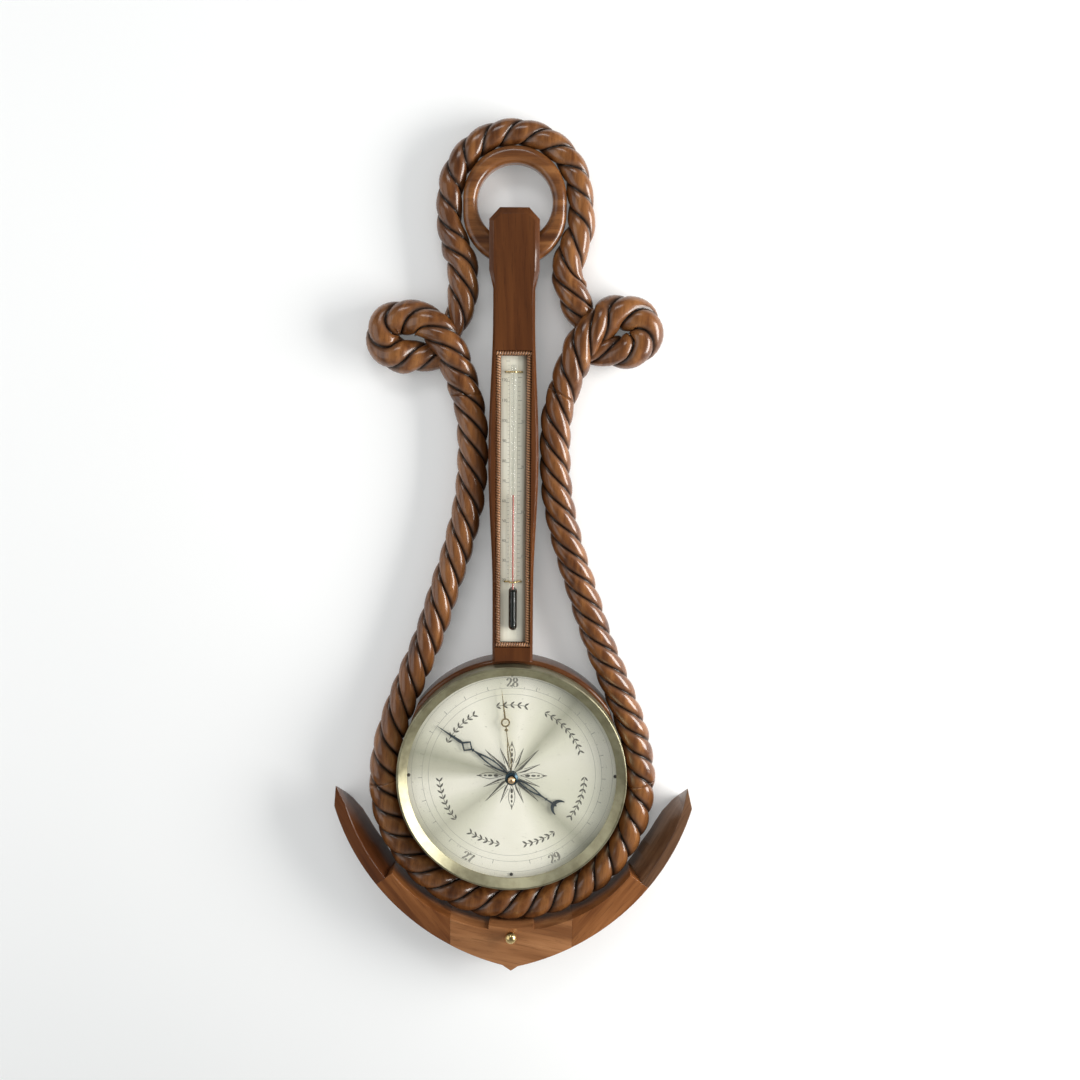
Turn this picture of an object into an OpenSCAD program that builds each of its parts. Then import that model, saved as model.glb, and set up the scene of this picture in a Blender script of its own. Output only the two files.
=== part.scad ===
// Wall barometer carved as a ship's anchor, with a rope, a thermometer and an eight inch aneroid dial.
// Every piece is drawn lying on its back: x to the right, y up, z out of the wall.
// on_wall() then stands it up. The origin is the centre of the hanging hole, on the wall.

/* [Rope] */
// Thickness of the rope on its long sides, over the crests
rope_d = 28.6; // [24:0.2:29]
// Thickness of the rope where it lies round the ring
bow_d = 23.6; // [21:0.2:24]
// Number of strands laid together
strand_count = 3; // [3:1:4]
// Length in which a strand goes once round
lay_length = 67; // [60:1:90]
// Depth of the grooves between the strands, as a share of the rope's radius
groove_depth = 0.26; // [0.16:0.01:0.34]
// Height of the rope's centre above the wall
rope_height = 13; // [11:0.5:15]
// Height of the rope's flat back above the wall
rope_back = 2; // [1:0.5:4]
// Height of the strand that crosses over at each side
crossing_height = 17; // [15:0.5:19]

/* [Side loops] */
// Distance of each loop's centre from the middle
loop_x = 100.4; // [98:0.2:104]
// Height of the left loop's centre against the hanging hole
left_loop_y = -91; // [-93:0.5:-89]
// Height of the right loop's centre against the hanging hole
right_loop_y = -85.5; // [-88:0.5:-84]
// Radius of the loop's centre line
loop_r = 17.7; // [17.5:0.1:18.5]
// Distance from the middle at which the strands cross
cross_x = 66.5; // [65:0.5:68]
// Height of the crossings against the hanging hole
cross_y = -88; // [-90:0.5:-86]

/* [Ring] */
// Outer width of the ring
ring_w = 90.8; // [88:0.2:92]
// Radius of the hole in the ring
ring_hole_r = 33; // [31:0.5:34]
// Thickness of the ring from back to front
ring_depth = 20; // [14:0.5:22]
// Height of the ring's back above the wall
ring_back = 4; // [3:0.5:6]
// Length of the straight sides between the ring's two half circles
ring_straight = 11.8; // [8:0.2:16]
// Height of the upper half circle's centre against the hanging hole
ring_y = 28.2; // [27:0.2:30]
// Width of the flat left between the ring's rounded edges, at its sides
ring_flat = 0.2; // [0.2:0.2:6]

/* [Shank] */
// Width of the shank's head
head_w = 44; // [42:0.5:50]
// Width of the shank at its narrow places
neck_w = 36.6; // [36:0.2:40]
// Width of the shank at the middle of its swell
belly_w = 44.8; // [42:0.2:45]
// Thickness of the shank from the wall
shank_depth = 34; // [31:0.5:38]
// Width of the bevel along the head's front edges
head_bevel = 4; // [2:0.2:6]
// Width of the bevel along the shank's front edges below the head
shank_bevel = 2.2; // [1:0.1:2.3]
// Depth of the bevels, from the front
bevel_depth = 3.4; // [2:0.2:5]
// Height of the shank's top against the hanging hole
shank_top = 19.5; // [18:0.2:24]

/* [Thermometer] */
// Width of the scale plate
scale_w = 22.6; // [20:0.2:23]
// Height of the scale plate
scale_l = 257; // [240:1:262]
// Thickness of the scale plate
scale_t = 2; // [1:0.1:3]
// Height of the plate's top against the hanging hole
scale_top = -107.6; // [-112:0.2:-104]
// Width of the carved beads round the plate
bead_w = 4.4; // [3:0.1:4.6]
// Depth of the recess in the shank
recess_depth = 8; // [6:0.5:10]
// Outer diameter of the glass tube
tube_d = 5.2; // [4:0.1:6]
// Bore of the glass tube
tube_bore = 1.5; // [0.8:0.1:2.4]
// Outer diameter of the bulb
bulb_d = 6.6; // [6:0.1:7]
// Length of the bulb
bulb_l = 37; // [30:0.5:40]
// Height of the spirit's top above the bulb's slot
spirit_rise = 82; // [10:1:170]

/* [Dial] */
// Distance from the beads under the scale plate down to the dial base
dial_gap = 12.3; // [10:0.1:14]
// How far the dial base stands out round the bezel
base_ledge = 3.7; // [3.6:0.1:5.5]
// Thickness of the dial base from the wall
base_depth = 29; // [28:0.5:32]
// Rounding of the dial base's front edge
base_edge = 3.4; // [1:0.1:3.5]
// Outer radius of the bezel
bezel_r = 105.3; // [104:0.1:105.4]
// Width of the bezel's sloping front
bezel_slope = 9.3; // [8.5:0.1:10]
// Height of the bezel's lip above the dial base
bezel_rise = 15; // [13:0.5:18]
// Thickness of the bezel's brass
bezel_t = 1.2; // [0.8:0.1:1.6]
// Thickness of the dial plate
dial_t = 1.2; // [0.8:0.1:2]
// Distance of the dial screws from the edge of the bezel's opening
dial_screw_inset = 0.8; // [0.5:0.1:6]
// Thickness of the glass
glass_t = 1.8; // [1.5:0.1:2.2]
// Reach of the pressure hand from the centre
hand_reach = 84; // [70:1:90]
// Reach of the pressure hand's tail
tail_reach = 59; // [50:1:70]
// Rest angle of the pressure hand, clockwise from the top
hand_angle = -55.6; // [-90:0.1:90]
// Reach of the set hand from the centre
set_reach = 84.6; // [70:1:90]
// Rest angle of the set hand, clockwise from the top
set_angle = -6.6; // [-180:0.1:180]
// Diameter of the set hand's button
knob_d = 6.4; // [5:0.2:9]
// Diameter of the dark collar under the button
collar_d = 12; // [8:0.5:14]
// Thickness of the collar
collar_t = 4.7; // [2:0.1:6]

/* [Movement] */
// Radius of the recess for the movement
well_r = 74; // [73:0.5:80]
// Thickness of wood behind the movement
well_floor = 4; // [3.5:0.5:5]
// Thickness of the movement's plate
plate_t = 1.8; // [1.2:0.1:2.4]
// Radius of the vacuum capsule
capsule_r = 31; // [26:0.5:31]
// Thickness of the capsule
capsule_t = 8; // [6:0.5:9]
// Distance of the capsule's centre from the arbor
capsule_x = -20; // [-22:0.5:-18]
// Thickness of the main spring's leaf
leaf_t = 1.2; // [0.8:0.1:1.5]
// Width of the main spring's leaf
leaf_w = 26; // [20:1:28]
// Radius of the drum on the hand's arbor
drum_r = 2; // [1.6:0.1:2.6]
// Length of the arm that pulls the chain
chain_arm = 13.3; // [12:0.1:14]
// Length of the arm that the link moves
link_arm = 5; // [4:0.1:6]
// Distance of the regulating shaft from the hand's arbor
shaft_x = 46; // [42:0.5:50]

/* [Anchor crown] */
// Radius of the arms' outer curve
arm_outer_r = 220; // [214:1:226]
// How far that curve stands out from the middle of the rope at each side
arm_reach = 53; // [51:0.2:56]
// How far that curve's lowest point lies below the middle of the rope
crown_reach = 53.9; // [52:0.1:57]
// How much further out the curve lies on the right than on the left, halved
arm_shift = 1.5; // [-3:0.1:3]
// Thickness of the crown and arms
arm_depth = 34; // [31:0.5:38]
// Half the length of the crown block between its joints with the arms
crown_half = 57; // [50:1:66]
// Width of the neck between the crown and the rope
crown_neck_w = 42; // [34:1:48]
// Gap between the rope and the arms
arm_gap = 3.6; // [2:0.2:6]
// Width of the right palm's front face
right_palm_w = 8; // [6:0.5:12]
// Width of the left palm's front face
left_palm_w = 10.5; // [6:0.5:12]
// Diameter of the brass ball on the crown
stud_d = 11; // [8:0.2:12]
// Height of the ball's centre in front of the crown
stud_rise = 7; // [6.5:0.5:14]

/* [Hanging] */
// Radius of the hanging hole
hole_r = 4.5; // [3.5:0.1:5.5]
// Thickness of the hanger plate
hanger_t = 2; // [1.5:0.1:3]
// Height of the hanger plate
hanger_h = 13.6; // [12:0.2:14]
// Distance of the hanger's screws from the hole
hanger_screw_x = 12; // [11:0.1:14]

/* [Fits] */
// Gap between carved pieces that lie against each other
fit = 0.3; // [0.2:0.05:0.4]
// Gap round a pin, pivot or screw in its hole, on the radius
running_fit = 0.05; // [0.02:0.01:0.08]

/* [Hidden] */
$fn = 64;

wood = "#7a4524";
dark_wood = "#5c3018";
brass = "#b79a56";
steel = "#8d9196";
blued = "#26323f";

// Sizes that follow from the bezel and the scale plate
base_r = bezel_r + base_ledge;
sight_r = bezel_r - bezel_slope;
dial_screw_r = sight_r - dial_screw_inset;
dial_y = scale_top - scale_l - bead_w - dial_gap - base_r;

// Rope: the whole route is one line from loop to loop under the dial, and the bow is a second one
rope_r = rope_d / 2;
bow_r = bow_d / 2;
rope_step = 8;
samples_per_strand = 6;
section_count = strand_count * samples_per_strand;
// The rope hangs a little lower than the dial that it frames
rope_drop = 11.7;
round_y = dial_y - rope_drop;
round_r = base_r + 11;
waist_x = belly_w / 2 + rope_r + 2 * fit;
waist_y = cross_y - 112;

// Lean of the strands: how far a section's plane is skewed along the rope, at each part of the route
loop_lean = 0.25;
crossing_lean = -0.1;
side_lean = 0.17;
round_lean = 0.44;
bow_lean = 0.68;
// Turn of the strands at the start of each line
main_turn = 42;
bow_turn = -50;
// Half the route, drawn for the right, from the tucked end to the dial: x, y, height, radius, lean
function side_route(loop_y, tail_x, tail_leans) = [
    [tail_x, loop_y - loop_r - 0.8, rope_height - 2, rope_r - 2.3, tail_leans[0]],
    [loop_x - 12.2, loop_y - loop_r - 0.6, rope_height - 1, rope_r - 1, tail_leans[1]],
    [loop_x, loop_y - loop_r, rope_height, rope_r + 0.3, tail_leans[2]],
    for (a = [-45 : 45 : 45])
        [loop_x + loop_r * cos(a), loop_y + loop_r * sin(a), rope_height, rope_r + 0.4, loop_lean],
    [loop_x - 1, loop_y + loop_r, rope_height + 0.5, rope_r + 0.5, loop_lean],
    [loop_x - 13.5, loop_y + loop_r - 1, rope_height + 1.5, rope_r + 0.7, loop_lean / 2],
    [cross_x + 9.8, cross_y + 9, crossing_height - 1, rope_r + 0.8, crossing_lean],
    [cross_x, cross_y, crossing_height, rope_r + 1.4, crossing_lean],
    [cross_x - 7.3, cross_y - 10.5, crossing_height, rope_r + 1.4, crossing_lean],
    [cross_x - 12.7, cross_y - 23, crossing_height - 1, rope_r + 1, crossing_lean],
    [cross_x - 18.1, cross_y - 37.2, rope_height + 1.5, rope_r + 0.6, 0],
    [cross_x - 23.3, cross_y - 54, rope_height + 0.5, rope_r + 0.2, side_lean],
    [waist_x + 1, waist_y + 36, rope_height, rope_r, side_lean],
    [waist_x, waist_y, rope_height, rope_r, side_lean],
    for (share = [[0.041, 0.126], [0.161, 0.265], [0.314, 0.397], [0.49, 0.543], [0.669, 0.662], [0.837, 0.778]])
        [waist_x + (round_r - waist_x) * share[0], waist_y + (round_y - waist_y) * share[1],
            rope_height, rope_r, side_lean],
    [round_r - 3.6, waist_y + (round_y - waist_y) * 0.891, rope_height, rope_r, round_lean * 0.6]];
function mirrored(route) = [for (p = route) [-p.x, p.y, p[2], p[3], p[4]]];
function reversed(list) = [for (i = [len(list) - 1 : -1 : 0]) list[i]];
round_route = [for (a = [180 : 15 : 360])
    [round_r * cos(a), round_y + round_r * sin(a), rope_height, rope_r, round_lean]];

// A smooth curve through the points, in steps of about the given length
function flat_distance(a, b) = norm([b.x - a.x, b.y - a.y]);
function steps_between(a, b, step) = max(1, round(flat_distance(a, b) / step));
function spline(a, b, c, d, t) =
    0.5 * (2 * b + (c - a) * t + (2 * a - 5 * b + 4 * c - d) * t * t + (3 * b - a - 3 * c + d) * t * t * t);
function smooth(points, step) = [
    for (i = [0 : len(points) - 2])
        let (n = steps_between(points[i], points[i + 1], step))
        for (j = [0 : n - 1])
            spline(points[max(i - 1, 0)], points[i], points[i + 1], points[min(i + 2, len(points) - 1)], j / n),
    points[len(points) - 1]];
// Place in the smooth curve of the point numbered count
function steps_before(points, count, step) = count == 0 ? 0 :
    steps_between(points[count - 1], points[count], step) + steps_before(points, count - 1, step);
function running_lengths(path) = [
    for (i = 0, s = 0; i < len(path); i = i + 1, s = i < len(path) ? s + flat_distance(path[i - 1], path[i]) : s) s];
function flat_unit(v) = [v.x, v.y] / norm([v.x, v.y]);
function tangent_at(path, i) = flat_unit(path[min(i + 1, len(path) - 1)] - path[max(i - 1, 0)]);

main_route = concat(
    mirrored(side_route(left_loop_y, cross_x + 7, [0.54, 0.4, 0.3])),
    round_route,
    reversed(side_route(right_loop_y, cross_x + 11.5, [-0.7, -0.25, 0.1])));
main_path = smooth(main_route, rope_step);
main_lengths = running_lengths(main_path);
side_count = len(side_route(0, 0, [0, 0, 0]));
loop_count = 13;
left_loop_end = steps_before(main_route, loop_count, rope_step);
left_rope_end = steps_before(main_route, side_count, rope_step);
lower_rope_end = steps_before(main_route, len(main_route) - 1 - side_count, rope_step);
right_rope_end = steps_before(main_route, len(main_route) - 1 - loop_count, rope_step);

bow_line_r = ring_w / 2 + fit + bow_r;
bow_route = concat(
    [[-cross_x + 13.8, cross_y + 10.5, rope_height - 1, bow_r - 1.8, -0.67],
    [-cross_x + 19, cross_y + 26, rope_height - 0.5, rope_r - 0.8, -0.25],
    [-46, ring_y - 77.2, rope_height, rope_r, side_lean],
    [-46.4, ring_y - 56.7, rope_height, rope_r - 0.3, bow_lean * 0.4],
    [-51.2, ring_y - 42.2, rope_height, rope_r - 0.5, bow_lean * 0.5],
    [-57.2, ring_y - 23.2, rope_height, bow_r, bow_lean * 0.7]],
    [for (a = [180 : -22.5 : 0])
        [bow_line_r * cos(a), ring_y + bow_line_r * sin(a), rope_height, bow_r, bow_lean]],
    [[57.8, ring_y - 24.2, rope_height, bow_r + 1, bow_lean * 0.7],
    [50.4, ring_y - 44.6, rope_height, rope_r, bow_lean * 0.5],
    [46.8, ring_y - 61.9, rope_height, rope_r + 0.5, bow_lean * 0.4],
    [cross_x - 16.2, cross_y + 40.4, rope_height, rope_r + 0.5, bow_lean * 0.4],
    [cross_x - 9.5, cross_y + 20.5, rope_height - 0.5, rope_r - 0.8, 0.46]]);
bow_path = smooth(bow_route, rope_step);
bow_lengths = running_lengths(bow_path);

// Radius of a laid rope, as a share of its largest, from a strand's crest at 0 to the groove at 1
function strand_profile(share) = 1 - groove_depth + groove_depth * sqrt(1 - pow(share, 2.4));
// One cross section, its strands turned by the length run so far
function rope_section(path, lengths, i, turn) =
    let (p = path[i], t = tangent_at(path, i), side = [t.y, -t.x] + p[4] * t)
    [for (j = [0 : section_count - 1])
        let (turned = turn + 360 * (j / section_count + lengths[i] / lay_length),
            from_crest = 2 * abs(j / samples_per_strand - round(j / samples_per_strand)),
            r = p[3] * strand_profile(from_crest), across = r * cos(turned))
        [p.x + side.x * across, p.y + side.y * across, max(rope_back, p[2] + r * sin(turned))]];
function tube_faces(rings, n) = concat(
    [[for (j = [0 : n - 1]) j]],
    [[for (j = [n - 1 : -1 : 0]) (rings - 1) * n + j]],
    [for (i = [0 : rings - 2], j = [0 : n - 1]) [i * n + j, (i + 1) * n + j, i * n + (j + 1) % n]],
    [for (i = [0 : rings - 2], j = [0 : n - 1])
        [i * n + (j + 1) % n, (i + 1) * n + j, (i + 1) * n + (j + 1) % n]]);

module on_wall() {
    rotate([90, 0, 0]) children();
}
module slab(low, high) {
    translate([0, 0, low]) linear_extrude(high - low) children();
}
module at_dial() {
    translate([0, dial_y, 0]) children();
}

// Rope along a path from ring first to ring last
module laid_rope(path, lengths, turn, first, last) {
    rings = [for (i = [first : last]) rope_section(path, lengths, i, turn)];
    polyhedron([for (r = rings, p = r) p], tube_faces(len(rings), section_count), convexity = 10);
}
module main_rope(first, last) {
    color(wood) on_wall() laid_rope(main_path, main_lengths, main_turn, first, last);
}
module rope_bow() {
    color(wood) on_wall() laid_rope(bow_path, bow_lengths, bow_turn, 0, len(bow_path) - 1);
}
module left_loop() {
    main_rope(0, left_loop_end);
}
module left_rope() {
    main_rope(left_loop_end, left_rope_end);
}
module lower_rope() {
    main_rope(left_rope_end, lower_rope_end);
}
module right_rope() {
    main_rope(lower_rope_end, right_rope_end);
}
module right_loop() {
    main_rope(right_rope_end, len(main_path) - 1);
}

// The strip that the rope covers beside the dial, with room round it
module rope_strip(room) {
    above_dial = 18;
    span = [left_rope_end - above_dial : lower_rope_end + above_dial];
    inner = [for (i = span) let (t = tangent_at(main_path, i))
        [main_path[i].x - t.y * (rope_r + room), main_path[i].y + t.x * (rope_r + room)]];
    outer = [for (i = span) let (t = tangent_at(main_path, i))
        [main_path[i].x + t.y * (rope_r + room), main_path[i].y - t.x * (rope_r + room)]];
    polygon(concat(inner, reversed(outer)));
}

// Oval ring: a rounded slab with half round ends, pierced by a round hole with rounded edges
ring_r = ring_w / 2;
ring_low_y = ring_y - ring_straight;
ring_hole_y = ring_y - 2.7;
ring_front = ring_back + ring_depth;
ring_edge = (ring_r - ring_hole_r - ring_flat) / 2;
module ring_half_section() {
    inner = ring_r - ring_edge;
    translate([0, ring_back]) {
        square([inner, ring_depth]);
        translate([0, ring_edge]) square([ring_r, ring_depth - 2 * ring_edge]);
        for (z = [ring_edge, ring_depth - ring_edge]) translate([inner, z]) circle(ring_edge, $fn = 32);
    }
}
module ring_hole_section() {
    flare = ring_hole_r + ring_edge;
    translate([0, ring_back - 1]) square([ring_hole_r, ring_depth + 2]);
    difference() {
        translate([0, ring_back - 1]) square([flare, ring_edge + 1]);
        translate([flare, ring_back + ring_edge]) circle(ring_edge, $fn = 32);
    }
    difference() {
        translate([0, ring_front - ring_edge]) square([flare, ring_edge + 1]);
        translate([flare, ring_front - ring_edge]) circle(ring_edge, $fn = 32);
    }
}
module shackle_ring() {
    color(wood) on_wall() difference() {
        union() {
            translate([0, ring_y, 0]) rotate_extrude(angle = 180, $fn = 96) ring_half_section();
            translate([0, ring_low_y, 0]) rotate([0, 0, 180]) rotate_extrude(angle = 180, $fn = 96)
                ring_half_section();
            translate([0, ring_y, 0]) rotate([90, 0, 0]) linear_extrude(ring_straight) {
                ring_half_section();
                mirror([1, 0]) ring_half_section();
            }
        }
        translate([0, ring_hole_y, 0]) rotate_extrude($fn = 96) ring_hole_section();
    }
}
// The ring's outline from the front, with room round it
module ring_plan(room) {
    difference() {
        union() {
            for (y = [ring_low_y, ring_y]) translate([0, y]) circle(ring_r + room, $fn = 96);
            translate([-ring_r - room, ring_low_y]) square([ring_w + 2 * room, ring_straight]);
        }
        translate([0, ring_hole_y]) circle(ring_hole_r - room, $fn = 96);
    }
}

// Shank: x, y and how far the front edge stands in there, from the foot up to the top, on the right
shank_foot = dial_y + base_r;
belly_top = scale_top + 42;
belly_foot = dial_y + 170;
function belly_half(y) =
    let (t = y > waist_y ? (y - waist_y) / (belly_top - waist_y) : (waist_y - y) / (waist_y - belly_foot))
    neck_w / 2 + (belly_w - neck_w) / 2 * pow(cos(90 * min(1, t)), 2);
shank_side = concat(
    [[neck_w / 2, shank_foot - 12, shank_bevel, 0]],
    [for (i = [0 : 16]) let (y = belly_foot + (belly_top - belly_foot) * i / 16)
        [belly_half(y), y, shank_bevel, 0]],
    [[neck_w / 2, -49.5, shank_bevel, 0],
    [head_w / 2, -33.6, head_bevel, 0],
    [head_w / 2, shank_top - 10, head_bevel, head_bevel / 2],
    [head_w / 2 - 9.4, shank_top, 0.6, head_bevel * 1.5]]);
function mirrored_edge(points) = [for (p = points) [-p.x, p.y, -p[2], p[3]]];
// A board whose front edge is bevelled all round
module bevelled_board(outline, high) {
    n = len(outline);
    rings = [
        [for (p = outline) [p.x, p.y, 0]],
        [for (p = outline) [p.x, p.y, high - bevel_depth]],
        [for (p = outline) [p.x - p[2], p.y - p[3], high]]];
    polyhedron([for (r = rings, p = r) p], concat(
        [[for (j = [0 : n - 1]) j]],
        [[for (j = [n - 1 : -1 : 0]) 2 * n + j]],
        [for (j = [0 : n - 1]) [j, n + j, n + (j + 1) % n, (j + 1) % n]],
        [for (j = [0 : n - 1]) [n + j, 2 * n + j, n + (j + 1) % n]],
        [for (j = [0 : n - 1]) [n + (j + 1) % n, 2 * n + j, 2 * n + (j + 1) % n]]), convexity = 6);
}

recess_w = scale_w + 2 * bead_w + 4 * running_fit;
recess_top = scale_top + bead_w + 2 * running_fit;
recess_bottom = scale_top - scale_l - bead_w - 2 * running_fit;
recess_floor = shank_depth - recess_depth;
pocket_r = hole_r + 1.2;
pocket_depth = 12;
module shank() {
    color(wood) on_wall() difference() {
        bevelled_board(concat(shank_side, reversed(mirrored_edge(shank_side))), shank_depth);
        slab(recess_floor, shank_depth + 1)
            translate([-recess_w / 2, recess_bottom]) square([recess_w, recess_top - recess_bottom]);
        slab(-1, ring_front + fit) ring_plan(fit);
        slab(-1, hanger_t) translate([-hanger_half - running_fit, -hanger_h / 2 - running_fit])
            square([2 * hanger_half + 2 * running_fit, hanger_h + 2 * running_fit]);
        slab(0, pocket_depth) circle(pocket_r);
        for (x = hanger_screw_spots)
            translate([x, 0]) slab(0, hanger_screw_l + 0.5) circle(hanger_screw_r + running_fit);
        for (y = staple_heights, x = [-staple_leg_x, staple_leg_x])
            translate([x, y]) slab(recess_floor - staple_grip - 0.5, shank_depth) circle(staple_r + running_fit);
        translate([0, bulb_middle]) slab(tube_axis - bulb_d / 2 - fit, shank_depth)
            rounded_slot(bulb_slot_w, bulb_l + 3);
        at_dial() slab(-1, shank_depth + 1) circle(base_r + running_fit, $fn = 128);
    }
}
module rounded_slot(width, length) {
    for (y = [-1, 1]) translate([0, y * (length - width) / 2]) circle(width / 2);
    translate([-width / 2, -(length - width) / 2]) square([width, length - width]);
}

// Hanging hardware, let into the back of the shank
hanger_half = hanger_screw_x + 4;
hanger_screw_r = 1.5;
hanger_screw_l = 12;
hanger_screw_spots = [-hanger_screw_x, hanger_screw_x];
module hanger_plate() {
    color(brass) on_wall() difference() {
        slab(0, hanger_t) translate([-hanger_half, -hanger_h / 2]) square([2 * hanger_half, hanger_h]);
        slab(-1, hanger_t + 1) circle(hole_r);
        for (x = hanger_screw_spots) translate([x, 0, 0]) {
            slab(-1, hanger_t + 1) circle(hanger_screw_r + running_fit);
            countersink(running_fit);
        }
    }
}
module countersink(room) {
    rotate_extrude() polygon([
        [0, -0.01], [hanger_screw_r * 2 + room, -0.01], [hanger_screw_r + room, hanger_screw_r], [0, hanger_screw_r]]);
}
module hanger_screws() {
    color(brass) on_wall() for (x = hanger_screw_spots)
        translate([x, 0, 0]) difference() {
            rotate_extrude() polygon([
                [0, 0], [hanger_screw_r * 2, 0], [hanger_screw_r, hanger_screw_r],
                [hanger_screw_r, hanger_screw_l - 3], [0, hanger_screw_l]]);
            translate([-hanger_screw_r * 2, -0.3, -0.01]) cube([hanger_screw_r * 4, 0.6, 0.7]);
        }
}

// Thermometer
plate_front = recess_floor + scale_t;
tube_axis = plate_front + tube_d / 2 + running_fit;
slot_top = scale_top - scale_l + 52;
bulb_slot_w = bulb_d + 0.8;
bulb_middle = slot_top - 3 - bulb_l / 2;
tube_top = scale_top - 8;
staple_heights = [scale_top - 14, slot_top + 3.5];
staple_leg_x = 7.5;
staple_r = 0.7;
staple_grip = 4;
staple_gap = 0.1;
module thermometer_plate() {
    color("#e9e4d2") on_wall() difference() {
        slab(recess_floor, plate_front)
            translate([-scale_w / 2, scale_top - scale_l]) square([scale_w, scale_l]);
        translate([0, bulb_middle]) slab(recess_floor - 1, plate_front + 1) rounded_slot(bulb_slot_w, bulb_l + 3);
        for (y = staple_heights, x = [-staple_leg_x, staple_leg_x])
            translate([x, y]) slab(recess_floor - 1, plate_front + 1) circle(staple_r + running_fit);
    }
}
bulb_low = bulb_middle - bulb_l / 2;
bulb_high = bulb_middle + bulb_l / 2;
bulb_wall = 0.7;
// Half profile of the glass, or of the space inside it, drawn up the tube from its lowest point
module along_tube() {
    translate([0, 0, tube_axis]) rotate([-90, 0, 0]) children();
}
module tube_profile(bulb_r, stem_r, low, top) {
    shoulder = bulb_high - bulb_r;
    polygon(concat(
        [for (a = [-90 : 15 : 0]) [bulb_r * cos(a), low + bulb_r + bulb_r * sin(a)]],
        [[bulb_r, shoulder], [stem_r, shoulder + bulb_r * 0.8], [stem_r, top], [0, top]]));
}
module thermometer_tube() {
    color("#dfe8e4", 0.6) on_wall() along_tube() rotate_extrude() difference() {
        tube_profile(bulb_d / 2, tube_d / 2, bulb_low, tube_top);
        tube_profile(bulb_d / 2 - bulb_wall, tube_bore / 2, bulb_low + bulb_wall, tube_top - 3);
    }
}
module thermometer_spirit() {
    room = running_fit;
    color("#b3221c") on_wall() along_tube() rotate_extrude()
        tube_profile(bulb_d / 2 - bulb_wall - room, tube_bore / 2 - room, bulb_low + bulb_wall + room,
            slot_top + spirit_rise);
}
module tube_staples() {
    arch_r = tube_d / 2 + staple_gap + staple_r;
    color(brass) on_wall() for (y = staple_heights) translate([0, y, 0]) {
        for (x = [-staple_leg_x, staple_leg_x])
            translate([x, 0]) slab(recess_floor - staple_grip, plate_front + staple_r * 2 + 0.1) circle(staple_r);
        for (side = [-1, 1]) translate([side * arch_r, 0, plate_front + staple_r + 0.1])
            rotate([0, side * 90, 0]) cylinder(r = staple_r, h = staple_leg_x - arch_r);
        translate([0, 0, plate_front + staple_r + 0.1]) {
            for (side = [-1, 1])
                translate([side * arch_r, 0, 0]) cylinder(r = staple_r, h = tube_axis - plate_front - staple_r - 0.1);
        }
        translate([0, 0, tube_axis]) rotate([90, 0, 0])
            rotate_extrude(angle = 180) translate([arch_r, 0]) circle(staple_r, $fn = 24);
    }
}
// Carved bead: half round in section, laid round the plate with mitred ends
module bead(length) {
    r = bead_w / 2;
    color(dark_wood) on_wall() difference() {
        rotate([90, 0, 0]) translate([0, 0, -length / 2]) linear_extrude(length) union() {
            translate([-r, 0]) square([bead_w, recess_depth - r - 0.6]);
            translate([0, recess_depth - r - 0.6]) circle(r);
        }
    }
}
bead_x = scale_w / 2 + running_fit + bead_w / 2;
bead_middle = scale_top - scale_l / 2;
bead_long = scale_l + 2 * running_fit;
bead_short = scale_w + 2 * bead_w + 2 * running_fit;
module side_bead(side) {
    translate([side * bead_x, -recess_floor, bead_middle]) bead(bead_long);
}
module end_bead(y) {
    translate([0, -recess_floor, y]) rotate([0, 90, 0]) bead(bead_short);
}
module bead_left() {
    side_bead(-1);
}
module bead_right() {
    side_bead(1);
}
module bead_top() {
    end_bead(scale_top + running_fit + bead_w / 2);
}
module bead_bottom() {
    end_bead(scale_top - scale_l - running_fit - bead_w / 2);
}

// Dial base, with a spigot for the bezel and a well for the movement
spigot_r = bezel_r - bezel_t - running_fit * 2;
spigot_h = 3;
web_depth = 12;
screw_pilot = 0.85;
adjuster_x = capsule_x - 38;
adjuster_head_r = 3;
plate_screw_r = 1.3;
plate_screw_spots = [for (a = [90, 210, 330]) [66 * cos(a), 66 * sin(a)]];
module dial_base() {
    color(wood) on_wall() difference() {
        union() {
            at_dial() rotate_extrude($fn = 128) difference() {
                union() {
                    square([base_r, base_depth - spigot_h - base_edge]);
                    square([base_r - base_edge, base_depth - spigot_h]);
                    square([spigot_r, base_depth]);
                    translate([base_r - base_edge, base_depth - spigot_h - base_edge]) circle(base_edge, $fn = 32);
                }
                translate([0, well_floor]) square([well_r, base_depth]);
            }
            difference() {
                slab(0, web_depth) translate([0, round_y])
                    circle(round_r - rope_r - fit, $fn = 128);
                at_dial() slab(-1, web_depth + 1) circle(base_r - 4);
            }
        }
        slab(-1, base_depth - spigot_h) rope_strip(fit);
        at_dial() {
            translate([adjuster_x, 0]) slab(-1, well_floor + 1) circle(adjuster_head_r + 1);
            for (p = plate_screw_spots) translate(p) slab(0.8, well_floor + 1) circle(plate_screw_r + running_fit);
            for (a = [0 : 90 : 270]) rotate([0, 0, a]) translate([dial_screw_r, 0])
                slab(base_depth - 9.5, base_depth + 1) circle(screw_pilot);
        }
    }
}

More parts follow.
